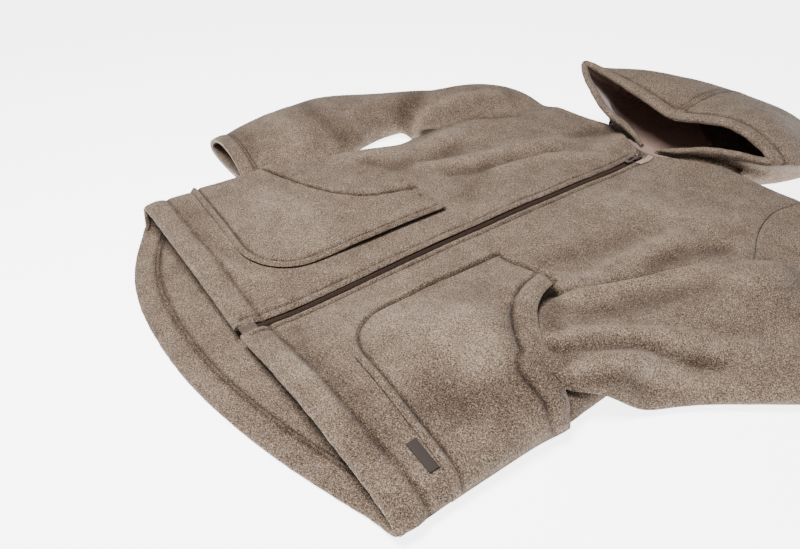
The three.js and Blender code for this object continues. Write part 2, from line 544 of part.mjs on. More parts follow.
/** A small flat piece on the left front, between two rows and two distances from the zip. */
function patchOnLeftFront(rows, distances, thickness) {
  const surface = (depth) => grid(rows.length, distances.length, (i, j) => {
    const reach = rowAt(BODY, rows[i]).left;
    const turned = Math.asin(clamp((distances[j] - reach + SIDE_ROLL) / SIDE_ROLL)) / (Math.PI / 2);
    const q = Math.min(columnAt(1, rows[i], distances[j]), FLAT_SHARE) + (1 - FLAT_SHARE) * turned;
    return frontPoint(1, { y: rows[i], turn: 0 }, q, depth - LAY_GAP - thickness);
  });
  return wall(surface(0), surface(thickness));
}

const group = new THREE.Group();

/** Adds one named piece with its own material. */
function add(name, geometry, color, roughness = 1, metalness = 0) {
  const mesh = new THREE.Mesh(geometry, new THREE.MeshStandardMaterial({ color, roughness, metalness }));
  mesh.name = name;
  group.add(mesh);
  return mesh;
}

const FLEECE_COLOUR = 0x85776a;
const JERSEY_COLOUR = 0x7c675f;
const TAPE_COLOUR = 0x4b403b;
const METAL_COLOUR = 0x6d655e;
const LABEL_COLOUR = 0x6f675f;
const GARAGE_COLOUR = 0xa1938a;

add('front_right', front(-1), FLEECE_COLOUR);
add('front_left', front(1), FLEECE_COLOUR);
add('back', back(), FLEECE_COLOUR);
add('sleeve_right', sleeve(-1, RIGHT_SLEEVE, 18), FLEECE_COLOUR);
add('sleeve_left', sleeve(1, LEFT_SLEEVE, 20), FLEECE_COLOUR);
add('pocket_right', pocket(-1, RIGHT_POCKET), FLEECE_COLOUR);
add('pocket_left', pocket(1, LEFT_POCKET), FLEECE_COLOUR);
add('hood_right', hoodHalf(-1, RIGHT_HOOD), FLEECE_COLOUR);
add('hood_left', hoodHalf(1, LEFT_HOOD), FLEECE_COLOUR);
add('hood_lining_right', hoodLining(-1, RIGHT_HOOD), JERSEY_COLOUR);
add('hood_lining_left', hoodLining(1, LEFT_HOOD), JERSEY_COLOUR);

add('zip_tape_right', zipTape(-1), TAPE_COLOUR);
add('zip_tape_left', zipTape(1), TAPE_COLOUR);
add('zip_chain', zipChain(), TAPE_COLOUR, 0.5);

const boxOutline = roundedOutline(new THREE.Shape(), 2 * ZIP_HALF - 0.8, 16, 1, 0, 8);
add('zip_box', plate(boxOutline, 3.6).translate(0, 0, zipHeight(8) - 3.2), LABEL_COLOUR, 0.6);
const sliderTilt = Math.atan2(zipHeight(SLIDER_Y + 6) - zipHeight(SLIDER_Y - 6), 12);
const sliderMesh = add('zip_slider', slider(), METAL_COLOUR, 0.35, 1);
sliderMesh.rotation.x = sliderTilt;
sliderMesh.position.set(0, SLIDER_Y, zipHeight(SLIDER_Y) - 0.6);
const pull = add('zip_pull', pullTab(), METAL_COLOUR, 0.35, 1);
pull.rotation.x = sliderTilt;
pull.position.set(0, SLIDER_Y, zipHeight(SLIDER_Y) - 0.6);
pull.translateZ(SLIDER_HEIGHT + HINGE_HEIGHT);

add('zip_garage', patchOnLeftFront([563, 567, 571, 575, 578.5], [6.4, 10.5, 15], 2), GARAGE_COLOUR);
add('side_label', patchOnLeftFront([39, 43.5, 48.2], [209, 216, 223, 230, 235, 238], 1.2), LABEL_COLOUR);

export default group;
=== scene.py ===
"""Looks of a hooded zip jacket in boiled-wool fleece that lies flat on its back.

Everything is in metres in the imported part's frame: X towards the wearer's left, Y
from hem to neck and Z up from the surface that the jacket lies on. The tables of
folds and sewing are in millimetres, as a pattern cutter would write them.
"""

import json
import logging
import math
from dataclasses import dataclass, field
from enum import Enum
from typing import Any, Callable, Sequence

import bmesh
import bpy
import numpy as np
from mathutils import Matrix, Vector, noise

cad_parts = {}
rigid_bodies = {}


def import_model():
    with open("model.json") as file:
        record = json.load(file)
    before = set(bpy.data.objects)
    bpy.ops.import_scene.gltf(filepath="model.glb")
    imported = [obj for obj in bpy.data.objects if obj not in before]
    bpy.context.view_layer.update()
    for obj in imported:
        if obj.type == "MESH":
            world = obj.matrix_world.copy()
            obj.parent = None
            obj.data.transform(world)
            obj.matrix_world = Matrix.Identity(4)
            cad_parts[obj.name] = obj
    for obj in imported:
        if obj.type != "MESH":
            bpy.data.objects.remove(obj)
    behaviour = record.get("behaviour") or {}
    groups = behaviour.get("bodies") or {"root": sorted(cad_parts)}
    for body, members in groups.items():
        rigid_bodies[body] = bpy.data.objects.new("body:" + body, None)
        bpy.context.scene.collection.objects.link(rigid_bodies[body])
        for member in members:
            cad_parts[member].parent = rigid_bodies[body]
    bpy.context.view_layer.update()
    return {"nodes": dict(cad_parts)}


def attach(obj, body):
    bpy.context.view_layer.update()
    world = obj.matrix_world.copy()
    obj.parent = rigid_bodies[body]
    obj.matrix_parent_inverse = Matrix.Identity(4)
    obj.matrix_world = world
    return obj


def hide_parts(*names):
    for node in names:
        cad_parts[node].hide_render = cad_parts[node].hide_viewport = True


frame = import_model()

LOG = logging.getLogger("jacket")
MM = 0.001

CLOTH = 3.0 * MM  # boiled-wool fleece
HEM_THICK = 5.4 * MM  # two layers of it, pressed together
HEM_BAND = 27.0 * MM
JERSEY = 1.2 * MM
THREAD = 0.45 * MM
STITCH_PITCH = 3.4 * MM
ROW_PITCH = STITCH_PITCH * 1.2  # between two rows of stitches side by side
STITCH_SHARE = 0.68  # of the pitch that shows on top
ZIP_START, ZIP_END = 17.0 * MM, 556.0 * MM
TOOTH_PITCH = 1.5 * MM
ZIP_TOP = np.array([0.0, 584.0, 40.0]) * MM
LYING_CLEARANCE = 0.05 * MM
SIDES = ("right", "left")
WAVES_PER_MM = 157  # wave texture scale for bands 1 mm wide, pale and dark in turn
PAINTED_SHADE_ATTRIBUTE = "painted_shade"  # shade painted into stitched rows and creases, and highlight painted onto ridges; 1 is a stitched row
PAINTED_SHADE_STRENGTH = -0.11  # what the darkest painted shade adds to the wool's tone


# ---- small helpers ---------------------------------------------------------------------


def linear(hex_colour: str) -> tuple[float, float, float, float]:
    """Turns an sRGB hex colour into linear RGBA.

    Args:
        hex_colour: six hex digits, such as "85776a".

    Returns:
        Linear red, green, blue and an alpha of 1.
    """
    parts = [int(hex_colour[i : i + 2], 16) / 255 for i in (0, 2, 4)]
    turned = [p / 12.92 if p <= 0.04045 else ((p + 0.055) / 1.055) ** 2.4 for p in parts]
    return (turned[0], turned[1], turned[2], 1.0)


def select_only(piece: bpy.types.Object) -> None:
    """Makes one piece the only selected and the active one."""
    for other in bpy.context.view_layer.objects:
        other.select_set(False)
    piece.select_set(True)
    bpy.context.view_layer.objects.active = piece


def apply_modifier(piece: bpy.types.Object, kind: str, **settings: Any) -> None:
    """Adds a modifier to a piece and applies it.

    Args:
        piece: the mesh object.
        kind: the modifier's type, such as "SOLIDIFY".
        settings: its properties.
    """
    select_only(piece)
    modifier = piece.modifiers.new(kind.title(), kind)
    for name, value in settings.items():
        setattr(modifier, name, value)
    bpy.ops.object.modifier_apply(modifier=modifier.name)


def points_of(mesh: bpy.types.Mesh) -> np.ndarray:
    """A mesh's points as an array of rows of three."""
    flat = np.empty(len(mesh.vertices) * 3, np.float32)
    mesh.vertices.foreach_get("co", flat)
    return flat.reshape(-1, 3).astype(float)


def set_points(mesh: bpy.types.Mesh, points: np.ndarray) -> None:
    """Writes an array of points back into a mesh."""
    mesh.vertices.foreach_set("co", points.astype(np.float32).ravel())
    mesh.update()


def normals_of(mesh: bpy.types.Mesh) -> np.ndarray:
    """A mesh's point normals as an array of rows of three."""
    flat = np.empty(len(mesh.vertices) * 3, np.float32)
    mesh.vertex_normals.foreach_get("vector", flat)
    return flat.reshape(-1, 3).astype(float)


def smooth_step(values: np.ndarray, low: float, high: float) -> np.ndarray:
    """0 below low, 1 above high and a smooth rise between them."""
    share = np.clip((values - low) / (high - low), 0, 1)
    return share * share * (3 - 2 * share)


def smooth_shade(piece: bpy.types.Object, degrees: float) -> None:
    """Shades a piece smooth, but for edges sharper than an angle."""
    select_only(piece)
    bpy.ops.object.shade_smooth_by_angle(angle=math.radians(degrees))


def piece_of(name: str, mesh: bpy.types.Mesh) -> bpy.types.Object:
    """Makes an object of a mesh and links it to the scene."""
    piece = bpy.data.objects.new(name, mesh)
    bpy.context.scene.collection.objects.link(piece)
    return piece


def net_piece(name: str, net: bmesh.types.BMesh) -> bpy.types.Object:
    """Makes an object of a bmesh, which is freed."""
    mesh = bpy.data.meshes.new(name)
    net.to_mesh(mesh)
    net.free()
    return piece_of(name, mesh)


def close_ends(piece: bpy.types.Object, sides: int) -> None:
    """Fills the open ends of a piece's tubes and turns its faces outwards."""
    net = bmesh.new()
    net.from_mesh(piece.data)
    bmesh.ops.holes_fill(net, edges=net.edges, sides=sides)
    bmesh.ops.recalc_face_normals(net, faces=net.faces)
    net.to_mesh(piece.data)
    net.free()


def mesh_piece(name: str, points: np.ndarray, faces: np.ndarray) -> bpy.types.Object:
    """Makes an object from points and faces that all have the same number of corners.

    Args:
        name: the object's name.
        points: rows of three coordinates.
        faces: rows of point numbers.

    Returns:
        The new object, linked to the scene.
    """
    mesh = bpy.data.meshes.new(name)
    corners = faces.shape[1]
    mesh.vertices.add(len(points))
    mesh.vertices.foreach_set("co", points.astype(np.float32).ravel())
    mesh.loops.add(faces.size)
    mesh.loops.foreach_set("vertex_index", faces.astype(np.int32).ravel())
    mesh.polygons.add(len(faces))
    mesh.polygons.foreach_set("loop_start", np.arange(0, faces.size, corners, dtype=np.int32))
    mesh.update(calc_edges=True)
    return piece_of(name, mesh)


def noise_at(points: np.ndarray, size: float, seed: float = 0.0) -> np.ndarray:
    """Smooth noise from -1 to 1 at each point.

    Args:
        points: rows of three coordinates.
        size: size of its lumps in metres.
        seed: shifts the pattern.

    Returns:
        One value for each point.
    """
    shifted = points / size + seed * 7.31
    return np.array([noise.noise(Vector(p)) for p in shifted])


def distance_to(points: np.ndarray, segments: np.ndarray) -> tuple[np.ndarray, np.ndarray]:
    """Distance from each point to the nearest of some segments.

    Args:
        points: rows of three coordinates.
        segments: (count, 2, 3) array of their ends.

    Returns:
        The distances, and the number of the nearest segment for each point.
    """
    best = np.full(len(points), 1e9)
    nearest = np.zeros(len(points), int)
    for k, (a, b) in enumerate(segments):
        along = b - a
        share = np.clip((points - a) @ along / max(along @ along, 1e-12), 0, 1)
        gap = np.linalg.norm(points - a - share[:, None] * along, axis=1)
        closer = gap < best
        best[closer] = gap[closer]
        nearest[closer] = k
    return best, nearest


# ---- finishes ---------------------------------------------------------------------------


def set_inputs(
    tree: bpy.types.NodeTree, node: bpy.types.Node, inputs: dict[str | int, Any]
) -> None:
    """Sets or links a node's inputs.

    Args:
        tree: the material's node tree.
        node: the node.
        inputs: socket name or number, and a value or an output socket to link.
    """
    for name, value in inputs.items():
        if isinstance(value, bpy.types.NodeSocket):
            tree.links.new(value, node.inputs[name])
        else:
            node.inputs[name].default_value = value


def add_node(
    tree: bpy.types.NodeTree,
    kind: str,
    settings: dict[str, Any] | None = None,
    inputs: dict[str | int, Any] | None = None,
) -> bpy.types.Node:
    """Adds a node with its settings, and sets or links its inputs.

    Args:
        tree: the material's node tree.
        kind: the node's type, such as "ShaderNodeTexNoise".
        settings: its properties.
        inputs: socket name or number, and a value or an output socket to link.

    Returns:
        The node.
    """
    node = tree.nodes.new(kind)
    for name, value in (settings or {}).items():
        setattr(node, name, value)
    set_inputs(tree, node, inputs or {})
    return node


def colour_steps(
    tree: bpy.types.NodeTree, factor: bpy.types.NodeSocket, steps: Sequence[tuple[float, str]]
) -> bpy.types.NodeSocket:
    """The colour of a ramp with steps at places and in sRGB hex colours."""
    ramp = add_node(tree, "ShaderNodeValToRGB", {}, {"Fac": factor})
    band = ramp.color_ramp
    while len(band.elements) < len(steps):
        band.elements.new(0.5)
    for element, (place, colour) in zip(band.elements, steps):
        element.position = place
        element.color = linear(colour)
    return ramp.outputs["Color"]


class Finish:
    """A surface finish; each kind gives its own pattern."""

    def pattern(
        self, tree: bpy.types.NodeTree, place: bpy.types.NodeSocket
    ) -> dict[str | int, Any]:
        """Adds the pattern's nodes and gives the values and links of the shader."""
        raise NotImplementedError

    def material(self, name: str) -> bpy.types.Material:
        """Builds the material.

        Args:
            name: its name.

        Returns:
            The material.
        """
        material = bpy.data.materials.new(name)
        material.use_nodes = True
        tree = material.node_tree
        place = add_node(tree, "ShaderNodeTexCoord").outputs["Object"]
        set_inputs(tree, tree.nodes["Principled BSDF"], self.pattern(tree, place))
        return material


@dataclass(frozen=True)
class BoiledWool(Finish):
    """Boiled wool fleece, knitted and felted from fibres of several natural shades."""

    # It gives the eye a soft matt heather: pale and dark fibre tufts of about 1 mm mixed
    # all over, slow patches of lighter and darker shade, and a faint bright nap at edges.
    dark: str = "251c16"
    middle: str = "57493d"
    pale: str = "958475"
    tuft_mm: float = 0.95
    fleck_share: float = 0.4
    patch_mm: float = 20.0
    patch_share: float = 0.08
    sheen: float = 0.08

    def pattern(
        self, tree: bpy.types.NodeTree, place: bpy.types.NodeSocket
    ) -> dict[str | int, Any]:
        """Tufts, flecks and patches, plus painted shade in creases and stitched rows and painted
        highlight on ridges.
        """
        tufts = add_node(
            tree,
            "ShaderNodeTexNoise",
            {},
            {"Vector": place, "Scale": 1000 / self.tuft_mm, "Detail": 3.0, "Roughness": 0.62},
        )
        flecks = add_node(
            tree,
            "ShaderNodeTexNoise",
            {},
            {"Vector": place, "Scale": 820 / self.tuft_mm, "Detail": 2.0, "Distortion": 1.2},
        )
        patches = add_node(
            tree,
            "ShaderNodeTexNoise",
            {},
            {"Vector": place, "Scale": 1000 / self.patch_mm, "Detail": 4.0},
        )
        grain = add_node(
            tree,
            "ShaderNodeMix",
            {"data_type": "FLOAT"},
            {"Factor": self.fleck_share, 2: tufts.outputs["Fac"], 3: flecks.outputs["Fac"]},
        ).outputs[0]
        shade = add_node(
            tree,
            "ShaderNodeMix",
            {"data_type": "FLOAT"},
            {"Factor": self.patch_share, 2: grain, 3: patches.outputs["Fac"]},
        )
        painted_shade = add_node(tree, "ShaderNodeAttribute", {"attribute_name": PAINTED_SHADE_ATTRIBUTE})
        # Painted shade in stitched rows and creases, and a painted highlight on high ridges, on top
        # of the relief.
        shaded_tone = add_node(
            tree,
            "ShaderNodeMath",
            {"operation": "MULTIPLY_ADD"},
            {0: painted_shade.outputs["Fac"], 1: PAINTED_SHADE_STRENGTH, 2: shade.outputs[0]},
        ).outputs[0]
        steps = ((0.38, self.dark), (0.5, self.middle), (0.61, self.pale))
        bump = {"Strength": 0.75, "Distance": 0.9 * MM, "Height": grain}
        return {
            "Base Color": colour_steps(tree, shaded_tone, steps),
            "Normal": add_node(tree, "ShaderNodeBump", {}, bump).outputs["Normal"],
            "Roughness": 1.0,
            "Specular IOR Level": 0.15,
            "Sheen Weight": self.sheen,
            "Sheen Roughness": 0.5,
        }


@dataclass(frozen=True)
class KnitJersey(Finish):
    """Fine cotton jersey, plain knitted and piece dyed."""

    # It gives the eye thin close wales on a matt, even, warmer ground. The real wales are
    # about 0.8 mm apart; these are drawn much coarser so that they show.
    base: str
    shadow: str
    wale_mm: float = 2.2
    lint_share: float = 0.8

    def pattern(
        self, tree: bpy.types.NodeTree, place: bpy.types.NodeSocket
    ) -> dict[str | int, Any]:
        """Wales along the cloth, broken up by lint."""
        wales = add_node(
            tree,
            "ShaderNodeTexWave",
            {"wave_type": "BANDS", "bands_direction": "X"},
            {
                "Vector": place,
                "Scale": WAVES_PER_MM / self.wale_mm,
                "Distortion": 2.5,
                "Detail": 2.0,
            },
        )
        lint = add_node(
            tree, "ShaderNodeTexNoise", {}, {"Vector": place, "Scale": 420.0, "Detail": 3.0}
        )
        both = add_node(
            tree,
            "ShaderNodeMix",
            {"data_type": "FLOAT"},
            {"Factor": self.lint_share, 2: wales.outputs["Fac"], 3: lint.outputs["Fac"]},
        ).outputs[0]
        bump = {"Strength": 0.4, "Distance": 0.3 * MM, "Height": both}
        return {
            "Base Color": colour_steps(tree, both, ((0.3, self.shadow), (0.7, self.base))),
            "Normal": add_node(tree, "ShaderNodeBump", {}, bump).outputs["Normal"],
            "Roughness": 0.95,
            "Specular IOR Level": 0.2,
            "Sheen Weight": 0.15,
        }


@dataclass(frozen=True)
class WovenTape(Finish):
    """Polyester zip tape, twill woven with fine ribs."""

    # It gives the eye a dark, slightly shiny band with close cross ribs.
    base: str = "362a21"
    shadow: str = "1d1510"
    rib_mm: float = 1.1

    def pattern(
        self, tree: bpy.types.NodeTree, place: bpy.types.NodeSocket
    ) -> dict[str | int, Any]:
        """Ribs across the tape."""
        ribs = add_node(
            tree,
            "ShaderNodeTexWave",
            {"wave_type": "BANDS", "bands_direction": "Y"},
            {"Vector": place, "Scale": WAVES_PER_MM / self.rib_mm, "Distortion": 0.4},
        ).outputs["Fac"]
        bump = {"Strength": 0.5, "Distance": 0.2 * MM, "Height": ribs}
        return {
            "Base Color": colour_steps(tree, ribs, ((0.2, self.shadow), (0.8, self.base))),
            "Normal": add_node(tree, "ShaderNodeBump", {}, bump).outputs["Normal"],
            "Roughness": 0.8,
            "Specular IOR Level": 0.25,
        }


@dataclass(frozen=True)
class Moulded(Finish):
    """Nylon, acetal or polyester, spun, drawn or moulded."""

    # It gives the eye a plain dark colour, a soft highlight and faint handling marks.
    base: str
    worn: str
    roughness: float = 0.38
    gloss: float = 0.5
    mark_mm: float = 3.0

    def pattern(
        self, tree: bpy.types.NodeTree, place: bpy.types.NodeSocket
    ) -> dict[str | int, Any]:
        """Faint marks of wear."""
        marks = add_node(
            tree,
            "ShaderNodeTexNoise",
            {},
            {"Vector": place, "Scale": 1000 / self.mark_mm, "Detail": 4.0},
        ).outputs["Fac"]
        return {
            "Base Color": colour_steps(tree, marks, ((0.35, self.base), (0.75, self.worn))),
            "Roughness": self.roughness,
            "IOR": 1.53,
            "Specular IOR Level": self.gloss,
        }


@dataclass(frozen=True)
class PlatedZinc(Finish):
    """Zinc die-casting, barrelled and plated in a dull nickel."""

    # It gives the eye a grey-brown metal with broad highlights and brighter rubbed edges.
    base: str = "c9beb4"
    dull: str = "8f857c"
    grit_mm: float = 0.8

    def pattern(
        self, tree: bpy.types.NodeTree, place: bpy.types.NodeSocket
    ) -> dict[str | int, Any]:
        """Grit that makes the plating duller in places."""
        grit = add_node(
            tree,
            "ShaderNodeTexNoise",
            {},
            {"Vector": place, "Scale": 1000 / self.grit_mm, "Detail": 3.0},
        ).outputs["Fac"]
        rough = add_node(
            tree, "ShaderNodeMapRange", {}, {"Value": grit, "To Min": 0.28, "To Max": 0.45}
        )
        return {
            "Base Color": colour_steps(tree, grit, ((0.3, self.dull), (0.7, self.base))),
            "Roughness": rough.outputs["Result"],
            "Metallic": 1.0,
        }


@dataclass(frozen=True)
class TablePaper(Finish):
    """Coated paper, rolled out under the jacket."""

    # It gives the eye an even, nearly white ground with a fine matt grain.
    base: str = "f4f4f4"
    dull: str = "f3f3f3"
    glow: float = 4.4  # as over a light table, so that it stays pale all over

    def pattern(
        self, tree: bpy.types.NodeTree, place: bpy.types.NodeSocket
    ) -> dict[str | int, Any]:
        """A fine grain and an even glow."""
        grain = add_node(tree, "ShaderNodeTexNoise", {}, {"Vector": place, "Scale": 300.0})
        steps = ((0.3, self.dull), (0.7, self.base))
        return {
            "Base Color": colour_steps(tree, grain.outputs["Fac"], steps),
            "Roughness": 0.9,
            "Emission Color": (1.0, 1.0, 1.0, 1.0),
            "Emission Strength": self.glow,
        }


@dataclass(frozen=True)
class Finishes:
    """All the finishes of the jacket, each built once."""

    fleece: bpy.types.Material
    jersey: bpy.types.Material
    garage: bpy.types.Material
    thread: bpy.types.Material
    tape: bpy.types.Material
    teeth: bpy.types.Material
    zip_box: bpy.types.Material
    metal: bpy.types.Material
    label: bpy.types.Material

    @classmethod
    def made(cls) -> "Finishes":
        """Builds every finish."""
        return cls(
            fleece=BoiledWool().material("boiled_wool_fleece"),
            jersey=KnitJersey(base="a1877b", shadow="83695f").material("cotton_jersey_knitted"),
            garage=KnitJersey(base="9a857a", shadow="77645a").material("cotton_jersey_binding"),
            thread=Moulded(base="2c221b", worn="3c3027", roughness=0.9, gloss=0.1).material(
                "spun_thread"
            ),
            tape=WovenTape().material("polyester_tape_woven"),
            teeth=Moulded(base="2a1f18", worn="3a2c22", roughness=0.7, gloss=0.15).material(
                "polyester_coil_drawn"
            ),
            zip_box=Moulded(base="40362f", worn="52463d").material("acetal_box_moulded"),
            metal=PlatedZinc().material("zinc_black_nickel_plated"),
            label=WovenTape(base="352c28", shadow="2a2320", rib_mm=0.6).material(
                "satin_label_woven"
            ),
        )


# ---- sewing -----------------------------------------------------------------------------


@dataclass(frozen=True)
class Sewing:
    """A row of stitches that runs beside an edge of a piece of cloth.

    Attributes:
        edge: says whether a point of the piece's border belongs to that edge.
        inset: distance from the edge in metres.
        depth: how deep the stitches pull the cloth in.
        width: half width of the hollow beside them.
        swell: how far the cloth swells between the stitches and the edge.
        turn: how far the edge itself turns in.
        threads: how many rows lie side by side.
        shown: whether the thread itself shows.
        inside: whether it shows on the cloth's inner face.
        roll: half width of the padded roll that the edge is turned into; 0 for none.
        dark: how dark the painted shade along the row is.
        flat: whether the cloth lies flat beside it, without any other row's relief or painted
            shade.
    """

    edge: Callable[[Vector], bool]
    inset: float
    depth: float = 1.0 * MM
    width: float = 2.6 * MM
    swell: float = 0.0
    turn: float = 0.0
    threads: int = 1
    shown: bool = True
    inside: bool = False
    roll: float = 0.0
    dark: float = 1.0
    flat: bool = False


class Outer(Enum):
    """Which of a cloth solid's two walls is its outer face."""

    UP = "up"
    DOWN = "down"
    WIDE = "wide"


@dataclass(frozen=True)
class Fold:
    """A soft ridge or trough of the laid-out cloth, in plan, in millimetres.

    Attributes:
        path: two or more plan points that it runs through.
        height: its height; less than nothing for a trough.
        width: how far from its line it has faded to a third.
        pieces: names of the pieces that have it.
    """

    path: tuple[tuple[float, float], ...]
    height: float
    width: float
    pieces: tuple[str, ...]


LEFT = ("front_left", "pocket_left")
RIGHT = ("front_right", "pocket_right")
FLANK = ("front_right", "sleeve_right")
LEFT_SLEEVE = ("sleeve_left",)
RIGHT_SLEEVE = ("sleeve_right",)
# A fold's place in this row sets how it wanders, so new ones go at the end.
FOLDS: tuple[Fold, ...] = (
    Fold(((128, 284), (149, 296), (148, 350), (150, 410), (158, 440)), 4.5, 11, LEFT),
    Fold(((170, 380), (176, 420), (196, 455)), -4.0, 12, LEFT),
    Fold(((100, 300), (112, 350), (118, 420)), -2.2, 15, LEFT),
    Fold(((40, 440), (84, 470), (150, 490)), 2.4, 20, LEFT),
    Fold(((205, 202), (211, 219), (227, 243), (251, 275), (300, 340)), 6.4, 7, LEFT_SLEEVE),
    Fold(((207, 191), (228, 229), (258, 266), (290, 306)), -5.2, 6, LEFT_SLEEVE),
    Fold(((235, 186), (244, 214), (268, 252), (310, 300)), 5.4, 6, LEFT_SLEEVE),
    Fold(((249, 195), (260, 221), (278, 245)), -3.6, 6, LEFT_SLEEVE),
    Fold(((196, 250), (210, 300), (236, 360)), -3.2, 13, LEFT_SLEEVE),
    Fold(((164, 258), (178, 300), (196, 352), (214, 392)), 6.5, 8, LEFT_SLEEVE),
    Fold(((150, 262), (162, 306), (184, 372), (206, 410)), -5.2, 7, LEFT),
    Fold(((150, 262), (182, 219), (217, 194), (254, 172)), -3.5, 11, LEFT_SLEEVE),
    Fold(((330, 470), (352, 540), (340, 600)), -5.0, 18, LEFT_SLEEVE),
    Fold(((-214, 286), (-186, 300), (-166, 342), (-170, 400)), -3.4, 15, RIGHT),
    Fold(((-240, 262), (-226, 300), (-206, 360), (-200, 420)), 3.4, 13, RIGHT),
    Fold(((-74, 612), (-88, 590), (-96, 560)), -4.5, 13, RIGHT),
    Fold(((-50, 600), (-56, 570), (-40, 540)), 2.2, 12, RIGHT),
    Fold(((-163, 332), (-145, 366), (-131, 406), (-118, 466), (-100, 517)), 5.0, 9, RIGHT),
    Fold(((-121, 347), (-109, 387), (-94, 443), (-80, 504)), -4.0, 8, RIGHT),
    Fold(((-90, 396), (-87, 436), (-81, 476), (-43, 520)), 3.6, 9, RIGHT),
    Fold(((-60, 330), (-96, 372), (-110, 430)), -1.8, 18, RIGHT),
    Fold(((-110, 40), (-160, 30), (-230, 40)), -2.2, 9, RIGHT),
    Fold(((-60, 52), (-80, 34), (-140, 22)), 1.6, 8, RIGHT),
    Fold(((30, 44), (76, 30), (140, 34), (200, 22)), -2.4, 8, LEFT),
    Fold(((60, 14), (110, 20), (150, 12)), 1.8, 7, LEFT),
    Fold(((-276, 402), (-290, 440), (-284, 500), (-262, 560)), 9.0, 11, RIGHT_SLEEVE),
    Fold(((-252, 400), (-248, 450), (-238, 500), (-222, 540)), -13.0, 15, FLANK),
    Fold(((-320, 420), (-352, 470), (-360, 540)), -4.0, 18, RIGHT_SLEEVE),
    Fold(((-310, 300), (-370, 290), (-440, 300)), -3.0, 18, RIGHT_SLEEVE),
    Fold(((-312, 220), (-360, 240), (-420, 236)), 2.6, 14, RIGHT_SLEEVE),
    Fold(((-330, 168), (-376, 182), (-430, 176)), -2.2, 9, RIGHT_SLEEVE),
    Fold(((-80, 130), (-130, 140), (-190, 120)), 2.0, 20, RIGHT),
    Fold(((90, 120), (140, 150), (190, 130)), 3.0, 24, LEFT),
    Fold(((110, 200), (160, 190), (200, 160)), -2.0, 14, LEFT),
    Fold(((190, 80), (218, 120), (234, 160)), -3.6, 24, LEFT),
)
CREASE_SHADE = 8 * MM  # a trough this deep is painted as dark as a stitched row
RIDGE_SHADE = -0.2  # a high ridge is painted this much lighter
WANDER = 5 * MM  # how far a fold strays from its line
WANDER_SIZE = 60 * MM
SWELL = 0.9 * MM  # slow unevenness of the laid-out cloth
SWELL_SIZE = 68 * MM
LUMP = 0.22 * MM  # felted surface
LUMP_SIZE = 6.5 * MM
ROLL_SIDES = 16
ROLL_STEP = 2.5 * MM  # between a padded roll's rings
ROLL_LEAST = 60 * MM  # a shorter edge isn't rolled
NAP_LENGTHS = (0.7, 1.9)  # the shortest and the longest loose fibre, in millimetres
NAP_HALF = 0.075 * MM  # half a fibre's width at its root


def fold_lift(points: np.ndarray, piece: str) -> np.ndarray:
    """Height that the folds and the slow swell give the cloth at each point.

    Args:
        points: rows of three coordinates.
        piece: the piece's name.

    Returns:
        One height for each point.
    """
    plan = points.copy()
    plan[:, 2] = 0
    lift = SWELL * noise_at(plan, SWELL_SIZE, 3.0)
    for k, crease in enumerate(FOLDS):
        if piece not in crease.pieces:
            continue
        path = np.array([(x * MM, y * MM, 0.0) for x, y in crease.path])
        segments = np.stack([path[:-1], path[1:]], axis=1)
        wander = WANDER * noise_at(plan, WANDER_SIZE, 11.0 + k)
        gap, _ = distance_to(plan, segments)
        reach = np.exp(-(((gap + wander) / (crease.width * MM)) ** 2))
        lift += crease.height * MM * reach
    return lift


# ---- cloth pieces ------------------------------------------------------------------------


